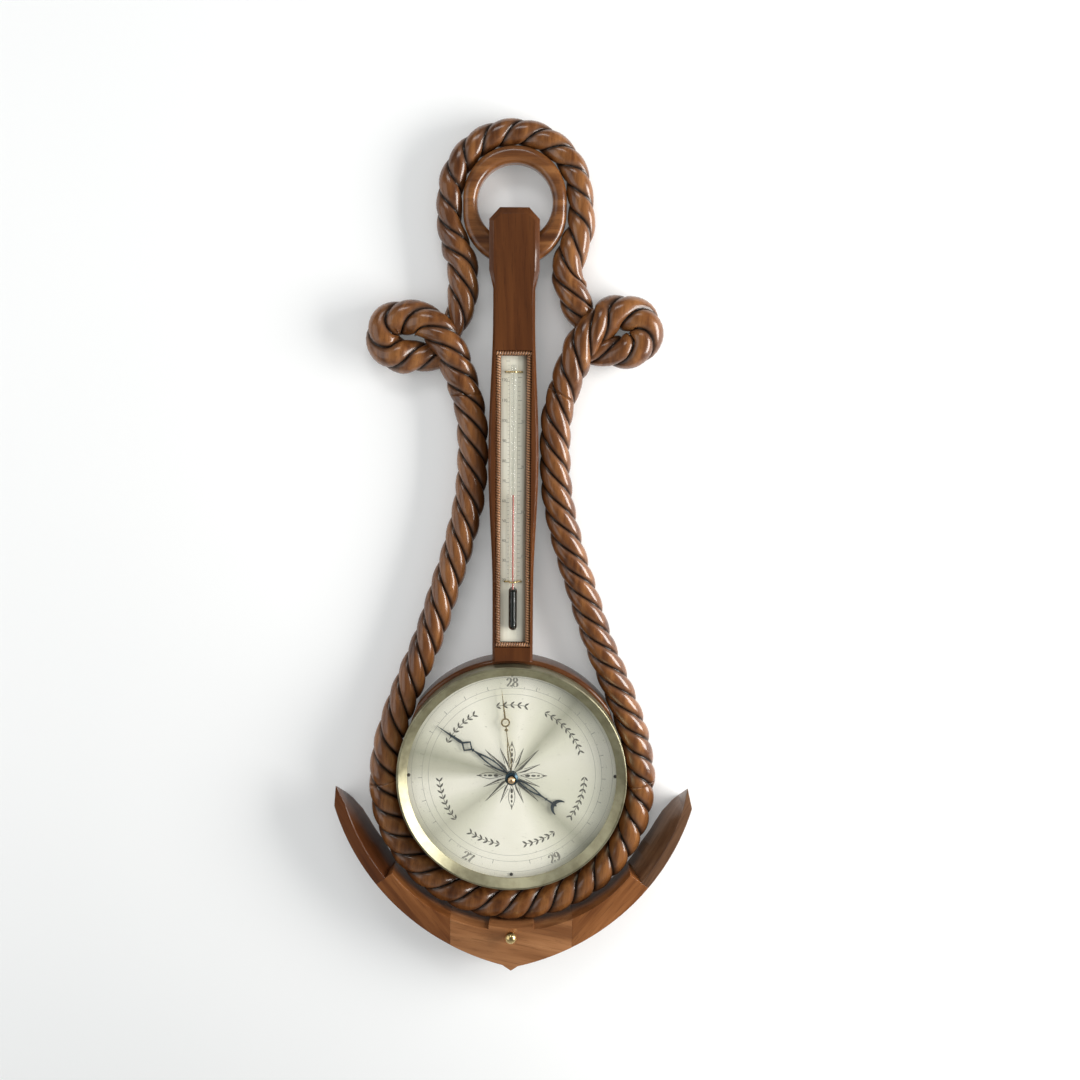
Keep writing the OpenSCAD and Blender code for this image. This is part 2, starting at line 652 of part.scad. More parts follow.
// Brass and glass over the dial
dial_front = base_depth + dial_t;
glass_back = dial_front + 4.6;
glass_front = glass_back + glass_t;
bezel_front = base_depth + bezel_rise;
bezel_inner_r = bezel_r - bezel_t;
glass_r = bezel_inner_r - 0.9;
module bezel() {
    foot = base_depth - spigot_h;
    slope_t = 0.8;
    throat = glass_front + 0.2;
    color(brass) on_wall() at_dial() rotate_extrude($fn = 128) polygon(concat(
        [[bezel_inner_r, foot], [bezel_r, foot], [bezel_r, bezel_front - 1.8]],
        [for (a = [0 : 30 : 150])
            [bezel_r - 1.3 + 1.3 * cos(a), bezel_front - 1.3 + 1.3 * sin(a)]],
        [[sight_r, throat + slope_t], [sight_r, throat], [sight_r + 1.4, throat],
        [bezel_inner_r, bezel_front - 2.6]]));
}
module dial_glass() {
    color("#dfe8e4", 0.35) on_wall() at_dial() rotate_extrude($fn = 128)
        translate([knob_stem_r + running_fit, glass_back])
            square([glass_r - knob_stem_r - running_fit, glass_t]);
}
module glass_ring() {
    color(brass) on_wall() at_dial() rotate_extrude($fn = 128)
        translate([glass_r - 4.5, dial_front]) square([4, glass_back - dial_front]);
}
module dial_plate() {
    color("#d5d3c4") on_wall() at_dial() difference() {
        slab(base_depth, dial_front) circle(spigot_r - 0.5, $fn = 128);
        slab(base_depth - 1, dial_front + 1) circle(arbor_r + 1.6);
        for (a = [0 : 90 : 270]) rotate([0, 0, a]) translate([dial_screw_r, 0])
            slab(base_depth - 1, dial_front + 1) circle(screw_pilot);
    }
}
module dial_screws() {
    color("#4a4538") on_wall() at_dial() for (a = [0 : 90 : 270])
        rotate([0, 0, a]) translate([dial_screw_r, 0]) difference() {
            union() {
                slab(base_depth - 9, dial_front + 0.1) circle(screw_pilot - running_fit);
                slab(dial_front, dial_front + 0.8) circle(1.5);
            }
            slab(dial_front + 0.4, dial_front + 1) translate([-2, -0.2]) square([4, 0.4]);
        }
}

// Hands, each drawn pointing up and then turned to where it rests
arbor_r = 0.8;
hand_back = dial_front + 1.2;
hand_t = 0.6;
hand_boss_r = 5.2;
diamond_r = 54;
diamond_half = 5.4;
tail_collar = 41;
module hand_blank() {
    polygon([[-2.9, 0], [-1.1, diamond_r - diamond_half], [1.1, diamond_r - diamond_half], [2.9, 0]]);
    polygon([[-1.5, diamond_r + diamond_half - 1], [0, hand_reach], [1.5, diamond_r + diamond_half - 1]]);
    difference() {
        rotate([0, 0, 45]) translate([diamond_r, diamond_r] / sqrt(2)) square(diamond_half * 1.42, center = true);
        rotate([0, 0, 45]) translate([diamond_r, diamond_r] / sqrt(2)) square(diamond_half * 0.86, center = true);
    }
    polygon([[-2.6, 0], [-1, -tail_collar], [1, -tail_collar], [2.6, 0]]);
    translate([0, -tail_collar]) circle(2.2, $fn = 32);
    polygon([[-1, -tail_collar], [-0.8, 4 - tail_reach + 4], [0.8, 4 - tail_reach + 4], [1, -tail_collar]]);
    intersection() {
        difference() {
            translate([0, -tail_reach]) circle(10.2);
            translate([0, -tail_reach - 4.4]) circle(10.6);
        }
        translate([-12, -tail_reach]) square([24, 12]);
    }
}
module pressure_hand() {
    color(blued) on_wall() at_dial() difference() {
        union() {
            slab(hand_back, hand_back + hand_t) rotate([0, 0, -hand_angle]) hand_blank();
            slab(hand_back - 0.4, hand_back + 1.4) circle(hand_boss_r);
        }
        slab(hand_back - 1, hand_back + 2) circle(arbor_r + running_fit);
    }
}
set_back = hand_back + 2;
set_t = 0.45;
knob_stem_r = 1.2;
set_ring_r = 54;
module set_blank() {
    polygon([[-1.5, 0], [-0.45, set_ring_r - 8], [0.45, set_ring_r - 8], [1.5, 0]]);
    polygon([[-2.7, set_ring_r - 8.6], [0, set_ring_r - 4], [2.7, set_ring_r - 8.6], [0, set_ring_r - 7]]);
    difference() {
        union() {
            translate([0, set_ring_r]) circle(4.4, $fn = 40);
            translate([-5.8, set_ring_r - 0.6]) square([11.6, 1.2]);
            polygon([[-1, set_ring_r + 3.8], [0, set_reach], [1, set_ring_r + 3.8]]);
        }
        translate([0, set_ring_r]) circle(3, $fn = 40);
    }
    polygon([[-0.5, set_ring_r - 8], [-0.5, set_ring_r - 2.9], [0.5, set_ring_r - 2.9], [0.5, set_ring_r - 8]]);
}
module set_hand() {
    color(brass) on_wall() at_dial() difference() {
        union() {
            slab(set_back, set_back + set_t) rotate([0, 0, -set_angle]) set_blank();
            slab(set_back, set_back + 0.9) circle(knob_d / 2);
        }
        slab(set_back - 1, set_back + 2) circle(knob_stem_r + running_fit);
    }
}
collar_low = glass_front + 0.2;
collar_high = collar_low + collar_t;
module set_knob() {
    grip = collar_high + 0.1;
    color(brass) on_wall() at_dial() rotate_extrude() polygon([
        [0, set_back], [knob_stem_r, set_back], [knob_stem_r, grip], [knob_d / 2, grip],
        [knob_d / 2, grip + 2.2], [knob_d / 2 - 0.7, grip + 3.4], [knob_d / 4, grip + 4.1], [0, grip + 4.3]]);
}
module knob_collar() {
    r = collar_d / 2;
    bore = knob_stem_r + running_fit;
    color(blued) on_wall() at_dial() rotate_extrude() polygon([
        [bore, collar_low], [r, collar_low], [r, collar_high - 1.6], [r - 1.6, collar_high], [bore, collar_high]]);
}

// Movement
plate_back = well_floor;
plate_top = plate_back + plate_t;
leaf_top = plate_top + capsule_t + 4.9;
leaf_bottom = leaf_top - leaf_t;
bend_x = capsule_x - 42;
bend_outer = (leaf_top - plate_top) / 2;
bend_z = plate_top + bend_outer;
shaft_z = plate_top + 3.2;
shaft_r = 1.5;
pivot_r = 0.75;
drum_low = leaf_top + 2.3;
drum_high = drum_low + 2.4;
chain_z = (drum_low + drum_high) / 2 - 0.2;
cock_low = leaf_top - 1.4;
cock_high = base_depth - 4;
cock_t = 1.4;
cock_pillar = [6, -33];
post_low_y = -15;
post_high_y = 19;
post_t = 4;
link_y = 10;
link_pin_x = shaft_x + link_arm;
link_pin_r = 0.5;
lever_w = 2.6;
lever_t = 1.5;
lever_mid_z = leaf_top + lever_t / 2;
// Angle of the regulating shaft at rest, for the hand's rest angle
shaft_rest = hand_angle * drum_r / chain_arm;

module movement_plate() {
    color(brass) on_wall() at_dial() difference() {
        slab(plate_back, plate_top) circle(well_r - 1.5, $fn = 96);
        for (p = plate_screw_spots) translate(p) slab(0, plate_top + 1) circle(plate_screw_r + running_fit);
        translate([adjuster_x, 0]) slab(0, plate_top + 1) circle(plate_screw_r + running_fit);
        for (y = spring_screw_y) translate([spring_screw_x, y]) slab(0, plate_top + 1)
            circle(plate_screw_r + running_fit);
        translate([link_pin_x - 3, link_y - 2]) slab(0, plate_top + 1) square([6, 4.6]);
    }
}
spring_screw_x = bend_x + 6.5;
spring_screw_y = [-8.5, 8.5];
module screw(head_z, tip_z) {
    difference() {
        union() {
            slab(tip_z, head_z + 0.1) circle(plate_screw_r);
            slab(head_z, head_z + 1.6) circle(plate_screw_r + 1.1);
        }
        slab(head_z + 0.9, head_z + 2) translate([-3, -0.3]) square([6, 0.6]);
    }
}
module plate_screws() {
    color(steel) on_wall() at_dial() for (p = plate_screw_spots) translate(p) screw(plate_top, 1);
}
module spring_screws() {
    color(steel) on_wall() at_dial() for (y = spring_screw_y)
        translate([spring_screw_x, y]) screw(plate_top + leaf_t, plate_back + 0.1);
}
module adjusting_screw() {
    color(brass) on_wall() at_dial() translate([adjuster_x, 0]) difference() {
        union() {
            slab(2.4, plate_top - 0.1) circle(plate_screw_r);
            slab(1, 2.5) circle(adjuster_head_r);
        }
        slab(0, 1.7) translate([-4, -0.4]) square([8, 0.8]);
    }
}
// Two corrugated diaphragms soldered at the rim, with a stud below and a post above
module capsule() {
    rim = plate_top + 0.3 + capsule_t / 2;
    wave = 0.5;
    half = capsule_t / 2 - 0.9;
    folds = [for (r = [capsule_r - 3 : -3 : 8]) r];
    function fold_z(i) = half + (i % 2 == 0 ? wave : -wave);
    color("#b9b39a") on_wall() at_dial() translate([capsule_x, 0, 0]) {
        rotate_extrude($fn = 96) polygon(concat(
            [[0, rim - half - 1.2], [6, rim - half - 1.2]],
            [for (i = [len(folds) - 1 : -1 : 0]) [folds[i], rim - fold_z(i)]],
            [[capsule_r, rim - 0.4], [capsule_r, rim + 0.4]],
            [for (i = [0 : len(folds) - 1]) [folds[i], rim + fold_z(i)]],
            [[6, rim + half + 1.2], [2, rim + half + 1.2], [2, leaf_bottom - 0.1], [0, leaf_bottom - 0.1]]));
        slab(plate_top, rim - half) circle(5);
    }
}
module main_spring() {
    color(steel) on_wall() at_dial() difference() {
        translate([0, leaf_w / 2, 0]) rotate([90, 0, 0]) linear_extrude(leaf_w) {
            translate([bend_x, plate_top]) square([8.5, leaf_t]);
            translate([bend_x, leaf_bottom]) square([capsule_x + 8 - bend_x, leaf_t]);
            difference() {
                translate([bend_x, bend_z]) circle(bend_outer);
                translate([bend_x, bend_z]) circle(bend_outer - leaf_t);
                translate([bend_x, 0]) square([20, 40]);
            }
        }
        for (y = spring_screw_y) translate([spring_screw_x, y]) slab(plate_top - 1, plate_top + leaf_t + 1)
            circle(plate_screw_r + running_fit);
    }
}
module main_lever() {
    tail = capsule_x - 10;
    color(steel) on_wall() at_dial() {
        translate([tail, link_y - lever_w - 0.2, leaf_top + 0.05])
            cube([link_pin_x + 2 - tail, lever_w, lever_t]);
        for (x = [tail + 4, tail + 12])
            translate([x, link_y - lever_w / 2 - 0.2, leaf_top + lever_t]) cylinder(r = 0.9, h = 0.6);
        translate([link_pin_x, link_y - 1, lever_mid_z]) rotate([-90, 0, 0]) cylinder(r = link_pin_r, h = 3);
    }
}
link_low_bore = 1.1;
module lever_link() {
    color(steel) on_wall() at_dial() difference() {
        translate([link_pin_x, link_y + 1.3, 0]) rotate([90, 0, 0]) linear_extrude(0.8) {
            translate([-0.7, shaft_z + 1.5]) square([1.4, lever_mid_z - shaft_z - 2.2]);
            translate([0, shaft_z]) circle(link_low_bore + 0.9, $fn = 32);
            translate([0, lever_mid_z]) circle(1.3, $fn = 32);
        }
        translate([link_pin_x, link_y, lever_mid_z]) rotate([-90, 0, 0])
            cylinder(r = link_pin_r + running_fit, h = 3);
        translate([link_pin_x, link_y, shaft_z - link_arm * sin(shaft_rest)]) rotate([-90, 0, 0])
            cylinder(r = link_low_bore, h = 3);
    }
}
module regulating_shaft() {
    color(steel) on_wall() at_dial() translate([shaft_x, 0, shaft_z]) rotate([0, shaft_rest, 0]) {
        translate([0, post_low_y + 0.4, 0]) rotate([-90, 0, 0])
            cylinder(r = shaft_r, h = post_high_y - post_low_y - 0.8);
        translate([0, post_low_y - post_t + 0.5, 0]) rotate([-90, 0, 0])
            cylinder(r = pivot_r, h = post_high_y - post_low_y + 2 * post_t - 1);
        translate([-1.1, drum_r - 0.6, 0]) cube([2.2, 1.2, chain_arm + 1]);
        translate([0, link_y - 1.6, -1]) cube([link_arm, 1.2, 2]);
        translate([link_arm, link_y - 1.6, 0]) rotate([-90, 0, 0]) cylinder(r = 1, h = 1.2);
        translate([link_arm, link_y - 1.6, 0]) rotate([-90, 0, 0]) cylinder(r = link_pin_r, h = 3);
    }
}
module shaft_posts() {
    color(brass) on_wall() at_dial() for (y = [post_low_y - post_t, post_high_y]) difference() {
        translate([shaft_x - 3, y, plate_top]) cube([6, post_t, shaft_z - plate_top + 3]);
        translate([shaft_x, y - 1, shaft_z]) rotate([-90, 0, 0]) cylinder(r = pivot_r + running_fit, h = post_t + 2);
    }
}
module arbor_chain() {
    chain_end = shaft_x + chain_arm * sin(shaft_rest) - 1.4;
    links = 12;
    pitch = (chain_end - 1) / links;
    color(steel) on_wall() at_dial() translate([1, drum_r + 0.4, chain_z]) {
        for (i = [0 : links - 1]) translate([i * pitch, 0, 0]) rotate([0, 90, 0]) cylinder(r = 0.3, h = pitch);
        for (i = [1 : links - 1]) translate([i * pitch - 0.4, 0, 0]) rotate([0, 90, 0]) cylinder(r = 0.55, h = 0.8);
    }
}
module hand_arbor() {
    color(steel) on_wall() at_dial() {
        slab(cock_low + 0.1, hand_back + 1) circle(arbor_r);
        slab(leaf_top + 0.3, drum_high + 0.4) circle(arbor_r + 0.5);
        slab(drum_low, drum_high) circle(drum_r);
    }
}
// Flat spiral, pinned to the arbor inside and to a stud under the cock outside
module hair_spring() {
    turns = 3.5;
    spring_t = 0.35;
    low = drum_high + 0.7;
    collar_r = arbor_r + 1.1;
    function coil(t, shift) = (collar_r - 0.5 + shift + 1.5 * t) * [cos(360 * t), sin(360 * t)];
    steps = [for (t = [0 : 1 / 16 : turns]) t];
    color(blued) on_wall() at_dial() difference() {
        union() {
            slab(low, low + 0.7)
                polygon(concat([for (t = steps) coil(t, 0)], reversed([for (t = steps) coil(t, spring_t)])));
            slab(low - 0.2, low + 0.6) circle(collar_r);
        }
        slab(low - 1, low + 1) circle(arbor_r + running_fit);
    }
}
module arbor_cock() {
    color(brass) on_wall() at_dial() difference() {
        union() {
            translate(cock_pillar) slab(plate_top, cock_high + cock_t) circle(3.4);
            for (z = [cock_low, cock_high]) slab(z, z + cock_t) hull() {
                circle(3.4, $fn = 32);
                translate(cock_pillar) circle(3.4, $fn = 32);
            }
        }
        slab(plate_top, base_depth) circle(arbor_r + running_fit);
    }
}

// Crown, arms and palms
lens_tip = round_y - round_r - crown_reach;
arm_outer_x = arm_outer_r - round_r - arm_reach;
arm_outer_y = lens_tip + sqrt(pow(arm_outer_r, 2) - pow(arm_outer_x, 2));
crown_tip = lens_tip - 3.3;
arm_inner_r = round_r + rope_r + arm_gap;
neck_r = round_r + rope_r + fit;
palm_angle = -36.5;
module outer_lens() {
    intersection_for(side = [-1, 1])
        translate([arm_shift + side * arm_outer_x, arm_outer_y]) circle(arm_outer_r, $fn = 180);
}
module crescent() {
    difference() {
        union() {
            outer_lens();
            polygon([[-14, crown_tip + 9.7], [0, crown_tip], [14, crown_tip + 9.7], [0, crown_tip + 29.2]]);
        }
        translate([0, round_y]) circle(arm_inner_r, $fn = 128);
    }
}
stud_y = crown_tip + 36.1;
stud_r = 2;
module crown() {
    color(wood) on_wall() difference() {
        union() {
            slab(0, arm_depth) intersection() {
                crescent();
                translate([-crown_half, crown_tip - 5]) square([2 * crown_half, round_y - crown_tip]);
            }
            slab(0, arm_depth) difference() {
                translate([-crown_neck_w / 2, round_y - arm_inner_r - 6]) square([crown_neck_w, 24]);
                translate([0, round_y]) circle(neck_r, $fn = 128);
            }
        }
        translate([0, stud_y]) slab(arm_depth - 12.5, arm_depth + 1) circle(stud_r + running_fit);
    }
}
// Children as drawn for the right, or mirrored for the left
module on_side(side) {
    mirror([side < 0 ? 1 : 0, 0, 0]) children();
}
module arm(side) {
    color(wood) on_wall() slab(0, arm_depth) difference() {
        intersection() {
            crescent();
            on_side(side) translate([crown_half, crown_tip]) square([2 * round_r, round_y - crown_tip]);
        }
        on_side(side) translate([0, round_y]) rotate([0, 0, palm_angle]) square(2 * round_r);
    }
}
module right_arm() {
    arm(1);
}
module left_arm() {
    arm(-1);
}
// Palm: a narrow front face along the outer curve and a wide back, in sections round the rope's centre
palm_end = -6;
palm_sections = 14;
palm_tip = [round_r + 42, round_y + 2.5];
// Angle of the palm's back and how far it stands out from the arms' inner curve, from the arm to the tip
palm_back = [[palm_angle, 0.1], [-27, 0.1], [-17, 4.7], [-12.5, 8.1], [-8, 15.1], [palm_end, 20.1]];
palm_back_edge = 3;
// Distance from the rope's centre to the outer curve in a direction
function outer_reach(a, side) =
    let (d = [arm_outer_x - side * arm_shift, round_y - arm_outer_y], along = d * [cos(a), sin(a)])
    -along + sqrt(along * along - d * d + arm_outer_r * arm_outer_r);
function palm_section(a, side, front_w) =
    let (out = outer_reach(a, side), back = arm_inner_r + lookup(a, palm_back))
    [for (p = [[out, 0], [out, arm_depth], [out - front_w, arm_depth], [back, palm_back_edge], [back, 0]])
        [p.x * cos(a), round_y + p.x * sin(a), p.y]];
module palm(side, front_w) {
    sections = [for (i = [0 : palm_sections])
        palm_section(palm_angle + (palm_end - palm_angle) * i / palm_sections, side, front_w)];
    n = len(sections[0]);
    last = palm_sections * n;
    color(wood) on_wall() on_side(side) polyhedron(
        concat([for (s = sections, p = s) p], [[palm_tip.x, palm_tip.y, arm_depth]]),
        concat(
            [[for (j = [0 : n - 1]) j]],
            [for (i = [0 : palm_sections - 1], j = [0 : n - 1])
                [i * n + j, (i + 1) * n + j, i * n + (j + 1) % n]],
            [for (i = [0 : palm_sections - 1], j = [0 : n - 1])
                [i * n + (j + 1) % n, (i + 1) * n + j, (i + 1) * n + (j + 1) % n]],
            [for (j = [0 : n - 1]) [last + j, last + n, last + (j + 1) % n]]), convexity = 6);
}
module right_palm() {
    palm(1, right_palm_w);
}
module left_palm() {
    palm(-1, left_palm_w);
}
module crown_stud() {
    color(brass) on_wall() translate([0, stud_y, 0]) {
        slab(arm_depth - 12, arm_depth + stud_rise) circle(stud_r);
        slab(arm_depth, arm_depth + 1.2) circle(stud_r + 1.2);
        translate([0, 0, arm_depth + stud_rise]) sphere(stud_d / 2);
    }
}

rope_bow();
left_loop();
right_loop();
left_rope();
right_rope();
lower_rope();
shackle_ring();
shank();
dial_base();
crown();
left_arm();
right_arm();
left_palm();
right_palm();
crown_stud();
thermometer_plate();
thermometer_tube();
thermometer_spirit();
tube_staples();
bead_left();
bead_right();
bead_top();
bead_bottom();
bezel();
dial_glass();
glass_ring();
dial_plate();
dial_screws();
pressure_hand();
set_hand();
set_knob();
knob_collar();
movement_plate();
plate_screws();
capsule();
main_spring();
spring_screws();
main_lever();
lever_link();
regulating_shaft();
shaft_posts();
arbor_chain();
hand_arbor();
hair_spring();
arbor_cock();
adjusting_screw();
hanger_plate();
hanger_screws();
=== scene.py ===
# %% [markdown]
# # A carved anchor barometer
# A wall barometer of about 1900: a ship's anchor in varnished walnut, a laid rope carved round it,
# a thermometer in the shank and a round aneroid dial below. The solid model gives every size and
# every moving piece. Blender adds what it can't hold: the crisp lay of the rope, the grain, the
# printed dial and the light of a studio. We load the model first.

# %% Load the solid model
from math import radians, degrees, sin, cos, pi, sqrt, tau

import bmesh
import bpy
from mathutils import Matrix, Vector, noise


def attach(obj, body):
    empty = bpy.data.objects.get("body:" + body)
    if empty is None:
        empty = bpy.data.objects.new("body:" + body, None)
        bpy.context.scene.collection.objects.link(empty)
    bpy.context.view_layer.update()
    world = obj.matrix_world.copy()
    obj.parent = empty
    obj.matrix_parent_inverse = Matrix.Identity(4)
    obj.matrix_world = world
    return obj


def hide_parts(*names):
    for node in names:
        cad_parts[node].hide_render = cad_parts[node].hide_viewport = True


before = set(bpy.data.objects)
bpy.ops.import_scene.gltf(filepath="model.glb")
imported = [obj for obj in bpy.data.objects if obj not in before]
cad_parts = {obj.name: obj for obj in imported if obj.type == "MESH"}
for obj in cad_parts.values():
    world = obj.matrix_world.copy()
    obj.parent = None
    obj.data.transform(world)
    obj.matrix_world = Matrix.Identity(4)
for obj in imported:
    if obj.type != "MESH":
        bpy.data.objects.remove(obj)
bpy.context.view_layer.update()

MM = 0.001

# %% [markdown]
# The barometer was drawn from the front: x to the right, y up, and a height out of the wall. The
# wall is the plane y = 0 of the scene and the front looks along -Y. One helper turns a drawing's
# point into a scene point, so that every number below is a plain millimetre.

# %% From the drawing to the wall
def on_wall(x, y, height):
    return Vector((x * MM, -height * MM, y * MM))

DIAL_Y = -490.3
print("dial centre:", on_wall(0, DIAL_Y, 30))

# %% [markdown]
# ## Camera
# The photograph was taken from a little more than a metre away, slightly right of the middle and
# level with the top of the thermometer, looking a little down. From further away the rope would
# look flatter, so the same place matters more than any setting of the lens.

# %% Camera
camera = bpy.data.objects.new("camera", bpy.data.cameras.new("camera"))
bpy.context.scene.collection.objects.link(camera)
bpy.context.scene.camera = camera
camera.data.sensor_fit = "HORIZONTAL"
camera.data.angle = radians(49.588)
camera.data.clip_end = 20
eye, target = Vector((24.25, -1071, -133.9)) * MM, Vector((24.25, -30, -270.9)) * MM
turn = (target - eye).to_track_quat("-Z", "Y").to_matrix().to_4x4()
camera.matrix_world = Matrix.Translation(eye) @ turn @ Matrix.Rotation(radians(0.46), 4, "Z")
print("camera", round((target - eye).length, 3), "m from the wall")

# %% [markdown]
# ## A way to write materials
# A finish is a sum of small effects: grain, pores, dark grooves, tool marks. In Blender each one
# is a chain of nodes, which is slow to write and hard to read. Two small classes help. `Value`
# holds one socket and gives it + - * /, so that maths on it reads like maths. `Finish` holds one
# material and makes any node with one method.

# %% Values that can be added and multiplied
class Value:
    def __init__(self, finish, node, output=0):
        self.finish, self.node, self.socket = finish, node, node.outputs[output]

    def take(self, output):
        return Value(self.finish, self.node, output)

    def math(self, operation, *values, clamp=False):
        return self.finish.node("Math", {"operation": operation, "use_clamp": clamp}, values)

    def __add__(self, other):
        return self.math("ADD", self, other)

    def __sub__(self, other):
        return self.math("SUBTRACT", self, other)

    def __rsub__(self, other):
        return self.math("SUBTRACT", other, self)

    def __mul__(self, other):
        return self.math("MULTIPLY", self, other)

    def __truediv__(self, other):
        return self.math("DIVIDE", self, other)

    def __pow__(self, power):
        return self.math("POWER", self, power)

    def __gt__(self, other):
        return self.math("GREATER_THAN", self, other)

    def __lt__(self, other):
        return self.math("LESS_THAN", self, other)

    __radd__, __rmul__ = __add__, __mul__

    def sine(self):
        return self.math("SINE", self)

    def held(self):
        """The value, kept between 0 and 1."""
        return self.math("ADD", self, 0, clamp=True)


print("a value takes + - * / ** < >")

# %% One finish, and any node in it
class Finish:
    def __init__(self, name, **constants):
        self.material = bpy.data.materials.new(name)
        self.material.use_nodes = True
        self.tree = self.material.node_tree
        self.shader = self.tree.nodes["Principled BSDF"]
        for socket, value in constants.items():
            self.shader.inputs[socket.replace("_", " ")].default_value = value

    def node(self, kind, settings={}, values={}, output=0):
        node = self.tree.nodes.new("ShaderNode" + kind)
        for name, value in settings.items():
            if name == "stops":
                self.set_stops(node.color_ramp, value)
            else:
                setattr(node, name, value)
        pairs = values.items() if isinstance(values, dict) else enumerate(values)
        for socket, value in pairs:
            self.fill(node.inputs[socket], value)
        return Value(self, node, output)

    def set_stops(self, ramp, stops):
        while len(ramp.elements) < len(stops):
            ramp.elements.new(1)
        for element, (place, color) in zip(ramp.elements, stops):
            element.position, element.color = place, (*color, 1)

    def fill(self, socket, value):
        if isinstance(value, Value):
            self.tree.links.new(value.socket, socket)
        else:
            socket.default_value = (*value, 1) if socket.type == "RGBA" else value

    def shade(self, **values):
        for socket, value in values.items():
            self.fill(self.shader.inputs[socket.replace("_", " ")], value)
        return self

    def place(self):
        return self.node("TexCoord", output="Object")

    def stretched(self, vector, x, y, z, turn=(0, 0, 0)):
        turned = self.node("Mapping", {"vector_type": "POINT"}, {"Vector": vector, "Rotation": turn})
        return self.node("VectorMath", {"operation": "MULTIPLY"}, {0: turned, 1: (x, y, z)})

    def noise(self, vector, detail=2.0, rough=0.5):
        return self.node("TexNoise", {}, {"Vector": vector, "Scale": 1.0, "Detail": detail,
                                          "Roughness": rough})

    def ramp(self, value, *stops):
        return self.node("ValToRGB", {"stops": stops}, [value])

    def mix(self, mask, first, second):
        return self.node("Mix", {"data_type": "RGBA"}, {0: mask, 6: first, 7: second}, 2)

    def seen_directly(self):
        """1 for rays of the camera, of reflections and through glass, 0 for the others."""
        paths = self.node("LightPath")
        kinds = ("Is Camera Ray", "Is Glossy Ray", "Is Transmission Ray")
        first, second, third = (paths.take(kind) for kind in kinds)
        return (first + second + third).held()

    def bump(self, height, depth, strength=1.0):
        return self.node("Bump", {}, {"Height": height, "Distance": depth, "Strength": strength})


print("finishes are built with", Finish.node.__name__)

# %% [markdown]
# ## Walnut
# The wood is walnut under an old glossy varnish: a red-brown ground, broad darker figure along the
# board and fine dark pores that run the same way. Varnish is a clear coat, so it gets its own
# smooth reflection over the rougher wood. In the rope the grooves are darkened, partly as old stain
# and partly as painted shade, and their flanks are paler, partly as dust and partly as a painted
# sheen. The mesh tells the finish how deep it lies in a groove, as a number on every vertex.

# %% Walnut under varnish
def walnut(name, color, lean=0.0, contrast=0.3, grooves=False, gloss=0.9, polish=0.15):
    """lean turns the grain in the plane of the wall, in degrees from upright; polish is the coat's
    roughness."""
    wood = Finish(name, Roughness=0.5, Coat_Roughness=polish, Coat_IOR=1.5, Specular_IOR_Level=0.1)
    place = wood.place()
    turn = (0, radians(lean), 0)
    wander = wood.noise(wood.stretched(place, 22, 22, 6, turn), 2)
    figure = wood.noise(wood.stretched(place, 95, 95, 7, turn), 5, 0.62)
    bands = (wood.noise(wood.stretched(place, 42, 42, 3.2, turn), 3) * 34 + wander * 7).sine()
    pores = wood.noise(wood.stretched(place, 950, 950, 42, turn), 3, 0.6)
    ground = figure * 0.66 + bands * 0.06 + wander * 0.34

    def shade(amount):
        return tuple(c * (1 + amount * contrast) ** (1 + 0.25 * i) for i, c in enumerate(color))

    steps = ((0.30, -1.6), (0.46, -0.4), (0.56, 0.4), (0.74, 2.0))
    tint = wood.ramp(ground, *((at, shade(amount)) for at, amount in steps))
    tint = wood.mix((pores < 0.40) * 0.35, tint, tuple(c * 0.35 for c in color))
    height = pores * 0.35 + figure * 0.3
    coat = gloss
    if grooves:
        depth = wood.node("Attribute", {"attribute_name": "groove"}, output="Fac")
        groove_speckle = wood.noise(wood.stretched(place, 160, 160, 160), 3)
        # Pale flanks beside each groove: partly dust, partly a painted sheen standing in for the varnish's
        # reflection of the pale room.
        pale_deposit_and_painted_sheen = (depth * (1 - depth) * (groove_speckle * 4.6 - 1.0)).held()
        tint = wood.mix(pale_deposit_and_painted_sheen, tint, tuple(c * 1.5 + 0.05 for c in color))
        # Dark grooves: partly old stain and dirt, partly painted shade where the strands hide each other
        # from the light.
        stain_and_painted_shade = (depth * (0.85 + groove_speckle * 0.5)).held()
        tint = wood.mix(stain_and_painted_shade, tint, (0.012, 0.0060, 0.0035))
        coat = gloss * (1 - depth * 0.5)
        height = height + (1 - depth) * 0.4
        wood.shade(Roughness=0.42 + depth * 0.2)
    wood.shade(Base_Color=tint, Coat_Weight=coat, Normal=wood.bump(height, 0.00012))
    return wood


# %% The ten woods
WOODS = {name: walnut("walnut_" + name, color, **facts) for name, color, facts in (
    ("shank", (0.090, 0.027, 0.0056), dict(lean=2, contrast=0.2, gloss=0.75)),
    ("rope", (0.172, 0.063, 0.0165), dict(lean=-6, contrast=0.44, grooves=True, gloss=1.0, polish=0.2)),
    ("ring", (0.155, 0.055, 0.0140), dict(lean=90, contrast=0.46, gloss=1.0, polish=0.2)),
    ("base", (0.090, 0.030, 0.0075), dict(lean=90, contrast=0.25, gloss=0.6)),
    ("crown", (0.280, 0.120, 0.0460), dict(lean=78, contrast=0.24, gloss=0.5)),
    # The right arm and right palm are lighter than the left ones: partly their own tone, partly painted
    # light from the key lamp on the right.
    ("left_arm", (0.170, 0.060, 0.0170), dict(lean=38, contrast=0.32, gloss=0.5)),
    ("right_arm", (0.235, 0.088, 0.0270), dict(lean=-38, contrast=0.26, gloss=0.5)),
    ("left_palm", (0.092, 0.028, 0.0070), dict(lean=30, gloss=0.7)),
    ("right_palm", (0.155, 0.080, 0.0420), dict(lean=-30, gloss=0.8)),
    ("bead", (0.330, 0.160, 0.0750), dict(grooves=True)))}
print(len(WOODS), "walnut finishes")

